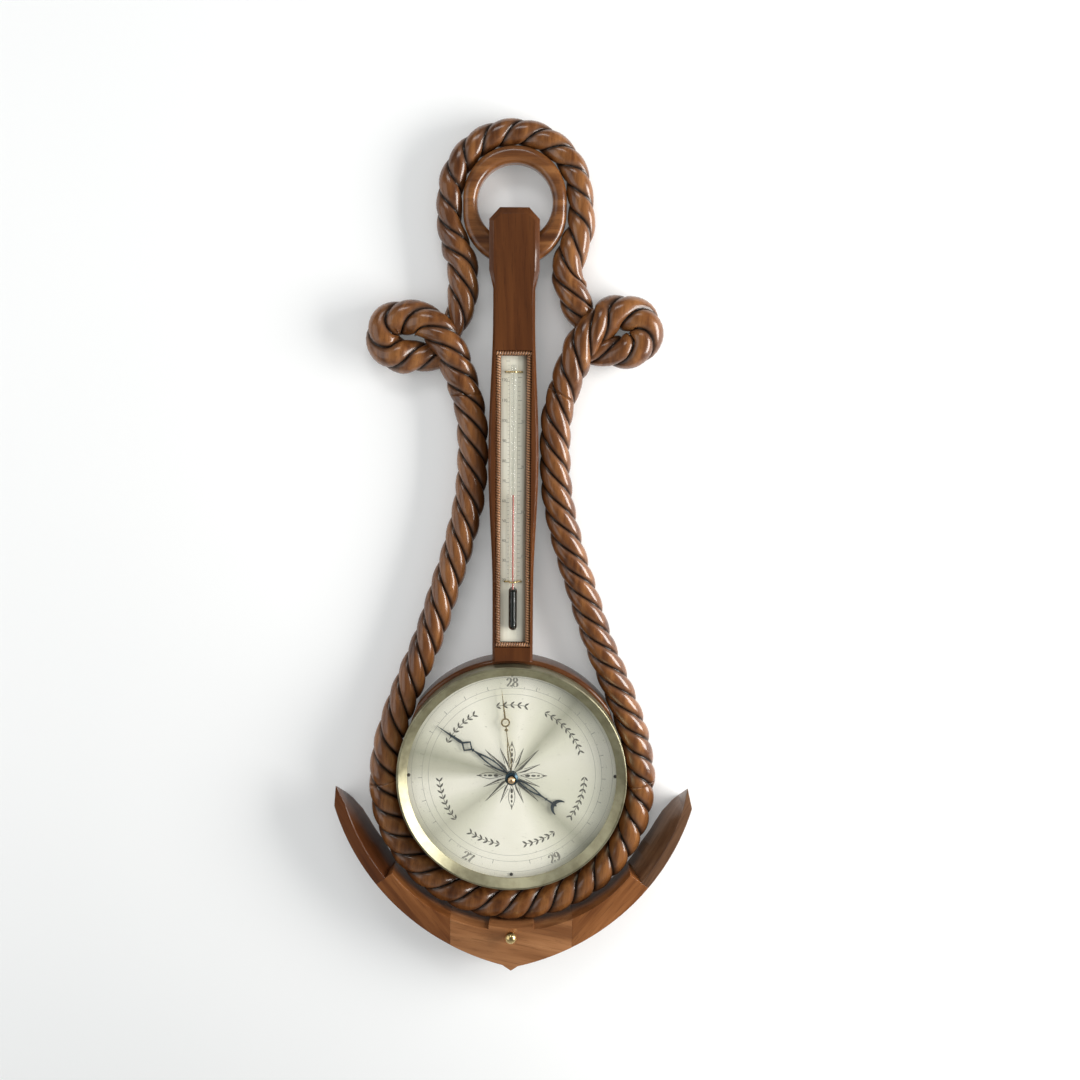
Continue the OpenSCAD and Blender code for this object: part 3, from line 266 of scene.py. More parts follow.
# %% [markdown]
# ## Brass, steel, glass and ivory
# Each metal is one Principled shader with Metallic at 1, or a little less under the bezel's dull
# lacquer. What makes it look used is small: a cloudy change of colour where the lacquer has aged,
# and fine scratches in the roughness. The glass is thin, so it is nearly clear and only its sheen
# shows. The thermometer's bulb is black, so below its top both glass and spirit turn dark.

# %% Metals
def metal(name, bright, dull, roughness, brushed=(900, 900, 900), metallic=1.0):
    piece = Finish(name, Metallic=metallic)
    place = piece.place()
    clouds = piece.noise(piece.stretched(place, 60, 60, 60), 4, 0.6)
    hairs = piece.noise(piece.stretched(place, *brushed), 2)
    color = piece.ramp(clouds, (0.32, dull), (0.62, bright))
    piece.shade(Base_Color=color, Roughness=roughness * 0.8 + clouds * roughness * 0.4 + hairs * 0.06,
                Normal=piece.bump(hairs, 0.00002))
    return piece


METALS = {name: metal(name, bright, dull, roughness, **facts) for name, bright, dull, roughness, facts in (
    ("bezel_brass", (0.37, 0.35, 0.23), (0.23, 0.21, 0.13), 0.36, dict(metallic=0.85)),
    ("brass", (0.80, 0.62, 0.30), (0.55, 0.40, 0.17), 0.24, {}),
    ("knob_brass", (0.86, 0.60, 0.36), (0.60, 0.38, 0.20), 0.3, {}),
    ("steel", (0.62, 0.63, 0.65), (0.42, 0.43, 0.45), 0.3, dict(brushed=(2200, 2200, 160))),
    ("blued_steel", (0.060, 0.105, 0.135), (0.022, 0.034, 0.045), 0.34, {}),
    ("nickel_silver", (0.66, 0.63, 0.54), (0.45, 0.42, 0.35), 0.3, {}),
    ("dark_screws", (0.13, 0.11, 0.08), (0.05, 0.04, 0.03), 0.45, {}))}
print(len(METALS), "metals")

# %% Glass and spirit
BULB_TOP, BULB_BLACK = -316, (0.010, 0.014, 0.012)


def thin_glass(name, tint, least, most, bulb=False):
    """least and most are the Alpha face on and at the edge."""
    glass = Finish(name, Base_Color=(*tint, 1), Roughness=0.04, Specular_IOR_Level=0.6)
    edge = glass.node("LayerWeight", {}, {"Blend": 0.35}, "Facing")
    streak = glass.noise(glass.stretched(glass.place(), 300, 300, 30), 2)
    if bulb:
        upward = glass.node("SeparateXYZ", {}, [glass.place()], "Z")
        glass.shade(Base_Color=glass.mix(upward < BULB_TOP * MM, tint, BULB_BLACK))
    glass.shade(Alpha=least + edge * (most - least), Roughness=0.03 + streak * 0.05)
    glass.material.surface_render_method = "BLENDED"
    return glass


dial_glass = thin_glass("dial_glass", (0.93, 0.96, 0.94), 0.02, 0.12)
tube_glass = thin_glass("tube_glass", (0.50, 0.52, 0.47), 0.06, 0.55, bulb=True)
spirit = Finish("red_spirit", Roughness=0.2, Specular_IOR_Level=0.5)
swirl = spirit.noise(spirit.stretched(spirit.place(), 900, 900, 90), 2)
red = spirit.ramp(swirl, (0.3, (0.33, 0.035, 0.022)), (0.7, (0.55, 0.07, 0.05)))
upward = spirit.node("SeparateXYZ", {}, [spirit.place()], "Z")
spirit.shade(Base_Color=spirit.mix(upward < BULB_TOP * MM, red, (0.012, 0.016, 0.014)))
print("glass and spirit ready")

# %% [markdown]
# ## The laid rope
# A rope of three strands is carved in the wood. In section each strand is a circle, and the
# section turns as it runs along, once in 67 mm. Rather than sweep three tubes, which would leave
# the inside full of faces, the rope is one skin: its radius rises over every strand and falls in
# the grooves between. The route is that of the solid model, except that the cut ends run on under
# the crossings, where no one sees them. A section may lean along the rope, so that the strands
# cross it at the carver's angle. The steps are three times finer than the solid's, the grooves are
# deeper, and every vertex learns how deep in a groove it lies.

# %% Sizes of the rope
# The board under the dial, the shank's belly, the ring, and the gap that each keeps
BASE_R, BELLY_W, RING_W, FIT = 109, 44.8, 90.8, 0.3
# Radii, then heights of the rope's middle over the wall, then how far its flat back stands off it
ROPE_R, BOW_R, ROPE_H, CROSS_H, ROPE_BACK = 14.3, 11.8, 13, 17, 2
# Length of one turn of the strands, depth of the grooves as a share of the radius, and their number
LAY, GROOVE, STRANDS = 67, 0.33, 3
# The round turns at the sides, the crossings, the part round the dial, and the narrowest place
LOOP_X, LOOP_R, LOOP_SWELL, CROSS_X, CROSS_Y = 100.4, 16.8, 1.8, 66.5, -88
LEFT_LOOP_Y, RIGHT_LOOP_Y = -91, -85.5
ROUND_Y, ROUND_R = DIAL_Y - 11.7, BASE_R + 11
WAIST_X, WAIST_Y = BELLY_W / 2 + ROPE_R + 2 * FIT, CROSS_Y - 112
LOOP_LEAN, CROSS_LEAN, SIDE_LEAN, ROUND_LEAN, BOW_LEAN = 0.1, -0.3, -0.25, 0.22, 0.34
# Where the first strand starts, in degrees round the rope
MAIN_TURN, BOW_TURN = -30.5, -138.5
print("one turn in", LAY, "mm, grooves", round(GROOVE * ROPE_R, 1), "mm deep")


# %% The route from a side loop down to the dial
def side_route(loop_y, tail_x, leans):
    """Points from the tucked end to the dial: x, y, height, radius, lean."""
    turn = [(LOOP_X + LOOP_R * cos(a), loop_y + LOOP_R * sin(a), ROPE_H, ROPE_R + LOOP_SWELL, LOOP_LEAN)
            for a in (-pi / 4, 0, pi / 4)]
    down = [(50.6, 222), (63.3, 182), (77.8, 138), (92.6, 102), (106.5, 67)]
    return [
        (tail_x, loop_y - LOOP_R - 0.8, ROPE_H - 4, ROPE_R - 3, leans[0]),
        (LOOP_X - 12.2, loop_y - LOOP_R - 0.6, ROPE_H - 1, ROPE_R, leans[1]),
        (LOOP_X, loop_y - LOOP_R, ROPE_H, ROPE_R + LOOP_SWELL, leans[2]), *turn,
        (LOOP_X - 1, loop_y + LOOP_R, ROPE_H + 0.5, ROPE_R + LOOP_SWELL, LOOP_LEAN),
        (LOOP_X - 13.5, loop_y + LOOP_R - 1, ROPE_H + 1.5, ROPE_R + LOOP_SWELL, LOOP_LEAN / 2),
        (CROSS_X + 9.8, CROSS_Y + 9, CROSS_H - 1, ROPE_R + LOOP_SWELL, CROSS_LEAN),
        (CROSS_X, CROSS_Y, CROSS_H, ROPE_R + 1.4, CROSS_LEAN),
        (CROSS_X - 7.3, CROSS_Y - 10.5, CROSS_H, ROPE_R + 1.4, CROSS_LEAN),
        (CROSS_X - 12.7, CROSS_Y - 23, CROSS_H - 1, ROPE_R + 1, CROSS_LEAN),
        (CROSS_X - 18.1, CROSS_Y - 37.2, ROPE_H + 1.5, ROPE_R + 0.6, 0),
        (CROSS_X - 23.3, CROSS_Y - 54, ROPE_H + 0.5, ROPE_R + 0.2, SIDE_LEAN),
        (WAIST_X + 1, WAIST_Y + 36, ROPE_H, ROPE_R, SIDE_LEAN),
        (WAIST_X, WAIST_Y, ROPE_H, ROPE_R, SIDE_LEAN),
        (WAIST_X + 3.4, WAIST_Y - 38, ROPE_H, ROPE_R, SIDE_LEAN),
        *[(x, ROUND_Y + y, ROPE_H, ROPE_R, SIDE_LEAN) for x, y in down],
        (ROUND_R - 3.6, ROUND_Y + 33, ROPE_H, ROPE_R, ROUND_LEAN * 0.6)]


def mirrored(route):
    return [(-p[0], *p[1:]) for p in route]


def round_point(a):
    return ROUND_R * cos(radians(a)), ROUND_Y + ROUND_R * sin(radians(a)), ROPE_H, ROPE_R, ROUND_LEAN


round_route = [round_point(a) for a in range(180, 361, 15)]
left_side = mirrored(side_route(LEFT_LOOP_Y, CROSS_X - 6.5, (0, 0, 0.1)))
right_side = side_route(RIGHT_LOOP_Y, CROSS_X - 4.5, (-0.1, 0, 0.1))[::-1]
main_route = left_side + round_route + right_side
print(len(main_route), "points from loop to loop")

# %% The bow round the ring
RING_Y, BOW_LINE_R = 28.2, RING_W / 2 + FIT + BOW_R


def bow_point(a):
    return BOW_LINE_R * cos(radians(a)), RING_Y + BOW_LINE_R * sin(radians(a)), ROPE_H, BOW_R, BOW_LEAN


bow_arc = [bow_point(180 - 22.5 * i) for i in range(9)]
bow_route = [
    (-CROSS_X + 6, CROSS_Y - 4, ROPE_H - 4, BOW_R - 3, -0.2),
    (-CROSS_X + 13.8, CROSS_Y + 10.5, ROPE_H - 1.5, BOW_R, -0.2),
    (-CROSS_X + 19, CROSS_Y + 26, ROPE_H - 0.5, ROPE_R - 0.8, SIDE_LEAN),
    (-46, RING_Y - 77.2, ROPE_H, ROPE_R, SIDE_LEAN),
    (-46.4, RING_Y - 56.7, ROPE_H, ROPE_R - 0.3, SIDE_LEAN),
    (-51.2, RING_Y - 42.2, ROPE_H, ROPE_R - 0.5, -0.1),
    (-57.2, RING_Y - 23.2, ROPE_H, BOW_R, BOW_LEAN * 0.3), *bow_arc,
    (57.8, RING_Y - 24.2, ROPE_H, BOW_R + 1, BOW_LEAN * 0.3),
    (50.4, RING_Y - 44.6, ROPE_H, ROPE_R, -0.1),
    (46.8, RING_Y - 61.9, ROPE_H, ROPE_R + 0.5, -0.4),
    (CROSS_X - 16.2, CROSS_Y + 40.4, ROPE_H, ROPE_R + 0.5, -0.4),
    (CROSS_X - 9.5, CROSS_Y + 20.5, ROPE_H - 1, ROPE_R - 0.4, -0.3),
    (CROSS_X - 2, CROSS_Y + 5, ROPE_H - 4, BOW_R - 3, 0)]
print(len(bow_route), "points round the ring")


# %% A smooth line through the points
def spline(a, b, c, d, t):
    """A point between b and c, where a and d are their neighbours."""
    return tuple(0.5 * (2 * q + (r - p) * t + (2 * p - 5 * q + 4 * r - s) * t * t
                        + (3 * q - p - 3 * r + s) * t ** 3)
                 for p, q, r, s in zip(a, b, c, d))


def smooth(points, step):
    """The line, its running lengths, and where each point of the route lies on it."""
    line, knots = [], []
    for i, (b, c) in enumerate(zip(points, points[1:])):
        a, d = points[max(i - 1, 0)], points[min(i + 2, len(points) - 1)]
        count = max(1, round(sqrt((b[0] - c[0]) ** 2 + (b[1] - c[1]) ** 2) / step))
        knots.append(len(line))
        line += [spline(a, b, c, d, j / count) for j in range(count)]
    knots.append(len(line))
    line.append(points[-1])
    lengths = [0.0]
    for p, q in zip(line, line[1:]):
        lengths.append(lengths[-1] + sqrt((p[0] - q[0]) ** 2 + (p[1] - q[1]) ** 2))
    return line, lengths, knots


print("a bend halfway:", spline((0, 0), (1, 0), (2, 1), (2, 2), 0.5))

# %% One section of the rope
def strand_profile(share, groove):
    """Radius at a share of the way from a strand's crest (0) to the groove beside it (1)."""
    return 1 - groove + groove * sqrt(max(0.0, 1 - share ** 2))


def rope_section(line, lengths, i, turned, around=60, lay=LAY, strands=STRANDS, back=ROPE_BACK,
                 groove=GROOVE):
    """The section's points, each with its depth in a groove from 0 to 1."""
    x, y, height, radius, lean = line[i]
    before, after = line[max(i - 1, 0)], line[min(i + 1, len(line) - 1)]
    along = Vector((after[0] - before[0], after[1] - before[1])).normalized()
    side = Vector((along.y, -along.x)) + lean * along
    points = []
    for j in range(around):
        a = tau * (j / around + lengths[i] / lay) + radians(turned)
        from_crest = (j * strands / around + 0.5) % 1 - 0.5
        uneven = 1 + 0.018 * noise.noise(Vector((x, y, j * 0.4)) * 0.06)
        share = abs(from_crest) * 2
        r = radius * strand_profile(share, groove) * uneven
        across = r * cos(a)
        point = on_wall(x + side.x * across, y + side.y * across, max(back, height + r * sin(a)))
        points.append((point, max(0.0, (share - 0.4) / 0.6) ** 1.8))
    return points


print("radius in a groove:", round(ROPE_R * strand_profile(1, GROOVE), 1), "mm")


# %% The skin of a rope between two places on its line
def rope_skin(name, rings):
    mesh = bpy.data.meshes.new(name)
    n, count = len(rings[0]), len(rings)
    faces = [(i * n + j, (i + 1) * n + j, (i + 1) * n + (j + 1) % n, i * n + (j + 1) % n)
             for i in range(count - 1) for j in range(n)]
    ends = [tuple(range(n)), tuple((count - 1) * n + j for j in reversed(range(n)))]
    mesh.from_pydata([p for ring in rings for p, g in ring], [], faces + ends)
    depths = mesh.attributes.new("groove", "FLOAT", "POINT")
    depths.data.foreach_set("value", [g for ring in rings for p, g in ring])
    mesh.polygons.foreach_set("use_smooth", [True] * len(faces) + [False, False])
    mesh.validate()
    return add(name, mesh)


def add(name, mesh):
    piece = bpy.data.objects.new(name, mesh)
    bpy.context.scene.collection.objects.link(piece)
    return piece


def dress(piece, finish, body="case", slot=None, node=None):
    """Gives a piece its finish and its body, and hides the solid that it stands for. slot is not used."""
    piece.data.materials.clear()
    piece.data.materials.append(finish.material)
    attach(piece, body)
    if node:
        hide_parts(node)
    return piece


# %% Carve the six lengths of rope
# Length of a step, and how many points of the route a side loop takes
FINE, LOOP_POINTS = 2.4, 13


def carve(name, node, line, lengths, first, last, turned):
    rings = [rope_section(line, lengths, i, turned) for i in range(first, last + 1)]
    dress(rope_skin(name, rings), WOODS["rope"], slot="walnut", node=node)
    print(node, len(rings), "sections,", round(lengths[last] - lengths[first]), "mm")


line, lengths, knots = smooth(main_route, FINE)
ends = (LOOP_POINTS, len(left_side))
cuts = [0, *(knots[n] for n in ends), *(knots[-1 - n] for n in reversed(ends)), len(line) - 1]
for node, *span in zip(("left_loop", "left_rope", "lower_rope", "right_rope", "right_loop"), cuts, cuts[1:]):
    carve("carved_" + node, node, line, lengths, *span, MAIN_TURN)
line, lengths, knots = smooth(bow_route, FINE)
carve("carved_bow", "rope_bow", line, lengths, 0, len(line) - 1, BOW_TURN)

# %% [markdown]
# ## Eased edges on the joinery
# No carver leaves an edge as sharp as a drawing does: sandpaper and a century of dusting round it
# off, and that thin rounding catches the light. The boards of the anchor are copies of their
# solids with the edges beveled by well under a millimetre. Merging the doubled corners first lets
# the bevel see which faces meet.

# %% Copy a solid and ease its edges
def finished(work, name, sharp):
    """Turns the working mesh into a piece, smooth but for edges sharper than so many degrees."""
    for face in work.faces:
        face.smooth = True
    mesh = bpy.data.meshes.new(name)
    work.to_mesh(mesh)
    work.free()
    mesh.set_sharp_from_angle(angle=radians(sharp))
    return add(name, mesh)


def bevel(work, width, sharp):
    edges = [e for e in work.edges if e.is_manifold and e.calc_face_angle(0) > radians(sharp)]
    bmesh.ops.bevel(work, geom=edges, offset=width * MM, offset_type="OFFSET", segments=3, profile=0.6,
                    affect="EDGES", clamp_overlap=True)


def eased(node, width):
    work = bmesh.new()
    work.from_mesh(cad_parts[node].data)
    bmesh.ops.remove_doubles(work, verts=work.verts, dist=2e-6)
    bmesh.ops.dissolve_limit(work, angle_limit=radians(0.6), verts=work.verts, edges=work.edges)
    bevel(work, width, 28)
    return finished(work, "eased_" + node, 32)


for node, finish, width in (("shank", "shank", 0.45), ("dial_base", "base", 0.4), ("crown", "crown", 0.5),
                            ("left_arm", "left_arm", 0.5), ("right_arm", "right_arm", 0.5)):
    piece = dress(eased(node, width), WOODS[finish], slot="walnut", node=node)
    print(node, len(piece.data.vertices), "vertices")

# %% [markdown]
# ## Palms
# The palms are the flat blades at the ends of the arms. Each is lofted in sections that fan out
# from the rope's centre: the outer edge follows the arm, the front face is a narrow flat and the
# inside slopes back to the wall. The solid is lofted in fourteen steps, and here there are sixty,
# so that the curves run clean.

# %% Loft the palms
ARM_R, ARM_X, ARM_Y, ARM_SHIFT, ARM_DEPTH = 220, 47, -461, 1.5, 34
PALM_FROM, PALM_TO, PALM_STEPS, PALM_FOOT = -36.5, -6, 60, 3
PALM_TIP = (162, 2.5)
# Angle, and how far from the rope's centre the inside meets the wall there
BACK_EDGE = [(-36.5, 138), (-27, 138), (-17, 142.6), (-12.5, 146), (-8, 153), (-6, 158)]


def between(table, a):
    """The table's value at a, on straight lines between its rows."""
    for (a0, v0), (a1, v1) in zip(table, table[1:]):
        if a <= a1:
            return v0 + (v1 - v0) * (a - a0) / (a1 - a0)
    return table[-1][1]


def outer_reach(a, side):
    """How far the arm's outer curve lies from the rope's centre, in that direction."""
    d = Vector((ARM_X - side * ARM_SHIFT, ROUND_Y - ARM_Y))
    along = d.dot(Vector((cos(a), sin(a))))
    return -along + sqrt(along ** 2 - d.length_squared + ARM_R ** 2)


def palm(name, side, front_width):
    """side is 1 for the right and -1 for the left."""
    work = bmesh.new()
    rings = []
    for i in range(PALM_STEPS + 1):
        angle = PALM_FROM + (PALM_TO - PALM_FROM) * i / PALM_STEPS
        a = radians(angle)
        out, back = outer_reach(a, side), between(BACK_EDGE, angle)
        section = [(out, 0), (out, ARM_DEPTH), (out - front_width, ARM_DEPTH), (back, PALM_FOOT), (back, 0)]
        rings.append([work.verts.new(on_wall(side * r * cos(a), ROUND_Y + r * sin(a), h))
                      for r, h in section])
    tip = work.verts.new(on_wall(side * PALM_TIP[0], ROUND_Y + PALM_TIP[1], ARM_DEPTH))
    corners = len(rings[0])
    for first, second in zip(rings, rings[1:]):
        for j in range(corners):
            k = (j + 1) % corners
            work.faces.new((first[j], second[j], second[k], first[k]))
    work.faces.new(reversed(rings[0]))
    for j in range(corners):
        work.faces.new((rings[-1][j], tip, rings[-1][(j + 1) % corners]))
    bmesh.ops.recalc_face_normals(work, faces=work.faces)
    bevel(work, 0.45, 24)
    piece = dress(finished(work, "carved_" + name, 32), WOODS[name], slot="walnut", node=name)
    print(name, len(piece.data.vertices), "vertices")


palm("right_palm", 1, 8)
palm("left_palm", -1, 10.5)

# %% [markdown]
# ## Rope beading round the scale
# A thin carved bead frames the thermometer: a two-strand twist, 4.4 mm thick, like a miniature of
# the big rope. It is made by the same skin, with a short lay, and sits in the recess of the shank.
# Each bead is a straight line of two ends: the two upright ones first, then the two level ones.

# %% Twist the four beads
SCALE_W, SCALE_L, SCALE_TOP, SHANK_FRONT, RECESS_FLOOR = 22.6, 257, -107.6, 34, 26
BEAD_W, BEAD_STEP, BEAD_LAY, BEAD_GROOVE, BEAD_LEAN, BEAD_SUNK = 4.4, 0.32, 4.6, 0.55, 0.15, 0.6
BEAD_H = SHANK_FRONT - BEAD_W / 2 - BEAD_SUNK


def bead(name, start, end):
    count = round((Vector(end) - Vector(start)).length / BEAD_STEP)
    steps = range(count + 1)
    line = [(*Vector(start).lerp(Vector(end), i / count), BEAD_H, BEAD_W / 2, BEAD_LEAN) for i in steps]
    lengths = [i * BEAD_STEP for i in steps]
    rings = [rope_section(line, lengths, i, 0, around=16, lay=BEAD_LAY, strands=2, back=RECESS_FLOOR + 0.1,
                          groove=BEAD_GROOVE) for i in steps]
    dress(rope_skin("carved_" + name, rings), WOODS["bead"], slot="dark_beading", node=name)


GAP = 0.05
side_x, end_x = SCALE_W / 2 + GAP + BEAD_W / 2, SCALE_W / 2 + BEAD_W
low, high = SCALE_TOP - SCALE_L - GAP, SCALE_TOP + GAP
for name, x in (("bead_left", -side_x), ("bead_right", side_x)):
    bead(name, (x, low), (x, high))
for name, y in (("bead_top", high + BEAD_W / 2), ("bead_bottom", low - BEAD_W / 2)):
    bead(name, (-end_x, y), (end_x, y))
print("beads at x", side_x)

# %% [markdown]
# ## Printed and engraved marks
# Numbers and lines are flat shapes that lie a hair above their plate, as ink does. A font would
# look modern, so the figures are drawn with a broad pen: a stroke is thick where it runs upright
# and thin where it runs level. One small function turns a pen's path into a ribbon.

# %% A broad pen
GLYPHS = {
    "0": [[(.5, 1), (.2, .88), (.1, .5), (.2, .12), (.5, 0), (.8, .12), (.9, .5), (.8, .88), (.5, 1)]],
    "1": [[(.5, 0), (.5, .5), (.5, 1)], [(.3, .8), (.42, .86), (.5, 1)], [(.25, 0), (.5, 0), (.75, 0)]],
    "2": [[(.14, .72), (.2, .9), (.45, 1), (.75, .9), (.8, .68), (.6, .42), (.3, .2), (.1, .03)],
          [(.1, .03), (.5, .06), (.85, .03), (.9, .2)]],
    "3": [[(.15, .8), (.3, .97), (.6, .98), (.78, .8), (.68, .6), (.4, .53)],
          [(.4, .53), (.72, .46), (.86, .25), (.68, .04), (.36, 0), (.12, .16)]],
    "4": [[(.66, 0), (.66, .5), (.66, 1)], [(.66, 1), (.36, .62), (.06, .28)],
          [(.06, .28), (.5, .28), (.92, .28)]],
    "5": [[(.2, .98), (.5, .98), (.82, .98)], [(.22, .98), (.2, .76), (.19, .55)],
          [(.19, .55), (.5, .64), (.82, .5), (.84, .2), (.55, 0), (.15, .1)]],
    "6": [[(.8, .9), (.5, .98), (.2, .7), (.12, .34), (.3, .04), (.62, .02), (.86, .25), (.72, .52),
           (.42, .54), (.16, .36)]],
    "7": [[(.1, .8), (.16, .96), (.5, .93), (.9, .97)], [(.9, .97), (.62, .6), (.46, .3), (.42, 0)]],
    "8": [[(.5, .53), (.2, .68), (.24, .92), (.5, 1), (.76, .92), (.8, .68), (.5, .53), (.14, .34),
           (.18, .08), (.5, 0), (.82, .08), (.86, .34), (.5, .53)]],
    "9": [[(.2, .1), (.5, .02), (.8, .3), (.88, .66), (.7, .96), (.38, .98), (.14, .75), (.28, .48),
           (.58, .46), (.84, .64)]],
}
print(len(GLYPHS), "figures")


# %% Ink on a plate
class Ink:
    """Collects flat ribbons and shapes in one mesh, drawn in millimetres on a plate."""
    def __init__(self, to_plate):
        self.to_plate, self.corners, self.faces = to_plate, [], []

    def shape(self, points):
        start = len(self.corners)
        self.corners += [self.to_plate(*p) for p in points]
        self.faces.append(tuple(range(start, start + len(points))))

    def ribbon(self, path, width):
        """width is a number, or a function of the pen's direction and how far along it is."""
        sides = []
        for i, (x, y) in enumerate(path):
            (x0, y0), (x1, y1) = path[max(i - 1, 0)], path[min(i + 1, len(path) - 1)]
            d = Vector((x1 - x0, y1 - y0)).normalized()
            half = (width(d, i / (len(path) - 1)) if callable(width) else width) / 2
            sides.append(((x - d.y * half, y + d.x * half), (x + d.y * half, y - d.x * half)))
        for (a, b), (c, d) in zip(sides, sides[1:]):
            self.shape([a, b, d, c])

    def number(self, text, x, y, height, turned=0, weight=0.2):
        """A number centred at x, y, with its foot turned clockwise by that many degrees."""
        wide = height * 0.62
        level = Vector((cos(radians(turned)), -sin(radians(turned))))
        upright = Vector((sin(radians(turned)), cos(radians(turned))))
        for k, figure in enumerate(text):
            start = (k - (len(text) - 1) / 2) * wide * 1.12
            for stroke in GLYPHS[figure]:
                path = [Vector((x, y)) + level * (start + (u - 0.5) * wide) + upright * (v - 0.5) * height
                        for u, v in smooth(stroke, 0.12)[0]]
                self.ribbon(path, lambda d, t: height * (0.05 + weight * abs(d.dot(upright)) ** 1.5))

    def piece(self, name):
        mesh = bpy.data.meshes.new(name)
        mesh.from_pydata(self.corners, [], self.faces)
        return add(name, mesh)


def ink(name, black, worn):
    print_ink = Finish(name, Roughness=0.5)
    blots = print_ink.noise(print_ink.stretched(print_ink.place(), 500, 500, 500), 3)
    return print_ink.shade(Base_Color=print_ink.ramp(blots, (0.35, black), (0.7, worn)))


printed_ink = ink("printed_ink", (0.050, 0.048, 0.036), (0.14, 0.13, 0.10))
worn_ink = ink("worn_ink", (0.20, 0.19, 0.15), (0.36, 0.35, 0.29))
print("two inks")

# %% [markdown]
# ## The silvered dial
# The dial is brass, turned on a lathe with fine abrasive and silvered. Its circular scratches
# reflect each lamp as a fan of light from the centre. Blender gives that with anisotropy. It needs
# a disc that lies flat in its own space, because the scratches circle that space's Z axis, so the
# disc is made flat and then stood up. The colour repeats the fan softly as a painted sheen, in stops
# of a ramp round the centre, so that it shows in any light. Tarnish and a few spots break it up.

# %% Silvering
silver = Finish("silvered_dial", Metallic=0.2, Anisotropic=0.7)
place = silver.place()
axes = silver.node("SeparateXYZ", {}, [place])
x, y = axes.take("X"), axes.take("Y")
radius = (x * x + y * y) ** 0.5
angle = silver.node("Math", {"operation": "ARCTAN2"}, [x, y]) / tau + 0.5
# Tones of the painted sheen: bright and pale where the fan of reflected light is painted, grey and dark
# between.
bright, mid, dark = (0.95, 0.925, 0.80), (0.76, 0.75, 0.61), (0.42, 0.415, 0.31)
grey, pale = (0.56, 0.55, 0.43), (0.83, 0.81, 0.69)
painted_sheen_fan = silver.ramp(angle, (0.0, bright), (0.06, bright), (0.11, mid), (0.145, grey), (0.175, mid),
                  (0.205, bright),
                  (0.235, bright), (0.262, grey), (0.29, dark), (0.325, mid), (0.355, pale), (0.42, bright),
                  (0.48, mid), (0.525, bright), (0.57, mid), (0.61, dark), (0.655, mid), (0.70, pale),
                  (0.79, mid), (0.83, mid), (0.872, dark), (0.91, mid), (0.95, bright), (1.0, bright))
rings = silver.noise(silver.node("CombineXYZ", {}, [radius * 2600, angle * 2, 0.0]), 2)
tarnish = silver.noise(silver.stretched(place, 70, 70, 70), 4, 0.65)
spots = (silver.noise(silver.stretched(place, 420, 420, 420), 2) > 0.70) * 0.35
color = silver.mix((tarnish - 0.35) * 0.5, painted_sheen_fan, (0.74, 0.71, 0.55))
color = silver.mix(spots, color, (0.33, 0.31, 0.22))
silver.shade(Base_Color=color, Roughness=0.30 + tarnish * 0.12, Normal=silver.bump(rings, 0.00001, 0.4))


# %% The dial's disc
def stood_up(height):
    """From a flat drawing to the wall, round the dial's centre."""
    return Matrix.Translation(on_wall(0, DIAL_Y, height)) @ Matrix.Rotation(radians(90), 4, "X")


def flat_disc(name, inner, outer, low, high, segments=192):
    """A flat ring in its own XY plane, stood up on the wall at the dial's centre."""
    work = bmesh.new()
    profile = [(inner, low), (inner, high), (inner + 0.2, high), (outer - 0.25, high), (outer, high - 0.25),
               (outer, low)]
    rings = [[work.verts.new((r * cos(tau * i / segments) * MM, r * sin(tau * i / segments) * MM, h * MM))
              for i in range(segments)] for r, h in profile]
    for first, second in zip(rings, rings[1:] + rings[:1]):
        for i in range(segments):
            k = (i + 1) % segments
            work.faces.new((first[i], first[k], second[k], second[i]))
    bmesh.ops.recalc_face_normals(work, faces=work.faces)
    piece = finished(work, name, 30)
    piece.matrix_world = stood_up(0)
    return piece


DIAL_BACK, DIAL_FRONT, DIAL_R, DIAL_HOLE = 29, 30.2, 103.4, 2.4
dress(flat_disc("silvered_face", DIAL_HOLE, DIAL_R, DIAL_BACK, DIAL_FRONT), silver, slot="silvered_dial",
      node="dial_plate")
print("dial face at", DIAL_FRONT, "mm")


# %% Circles, ticks and numbers
INK_T = 0.03


def on_dial(x, y):
    return on_wall(x, DIAL_Y + y, DIAL_FRONT + INK_T)


def around(r, clockwise):
    """A point at a radius, and an angle clockwise from the top."""
    return r * sin(radians(clockwise)), r * cos(radians(clockwise))


marks, fine_marks = Ink(on_dial), Ink(on_dial)
TICKS_R, TICK_ANGLE = 82.9, 7.65
for r, width in ((92.9, 0.22), (TICKS_R, 0.26), (77.1, 0.26)):
    fine_marks.ribbon([around(r, a * 2) for a in range(181)], width)
for step in range(-22, 23):
    a = step * TICK_ANGLE
    end, width = (86.6, 0.5) if step % 2 == 0 else (84.8, 0.3)
    fine_marks.ribbon([around(TICKS_R, a), around(end, a)], width)
for text, a, turned in (("27", -153, 27), ("28", 0, 0), ("29", 153, -27)):
    fine_marks.number(text, *around(88.2, a), 8.0, turned)
dress(fine_marks.piece("dial_lines"), worn_ink, slot="silvered_dial")
print("scale from 27 to 29")

# %% [markdown]
# The compass rose at the middle is a seaman's ornament of sixteen points. Twelve are split down
# their middle, one half inked and the other half left silver with a thin outline. The four main
# ones are open petals, each with a row of four small drops in it.

# %% Compass rose
def rose_point(a, root, length, half):
    """A split point; half is half its angle at the root."""
    tip, left, right = around(length, a), around(root, a - half), around(root, a + half)
    heart = around(root * 0.45, a)
    marks.shape([heart, right, tip])
    marks.ribbon([left, tip], 0.5)
    marks.ribbon([heart, tip], 0.3)


def drop(r, a, long, wide):
    marks.shape([around(r + long * cos(t), a + degrees(wide * sin(t) / r))
                 for t in (tau * i / 12 for i in range(12))])


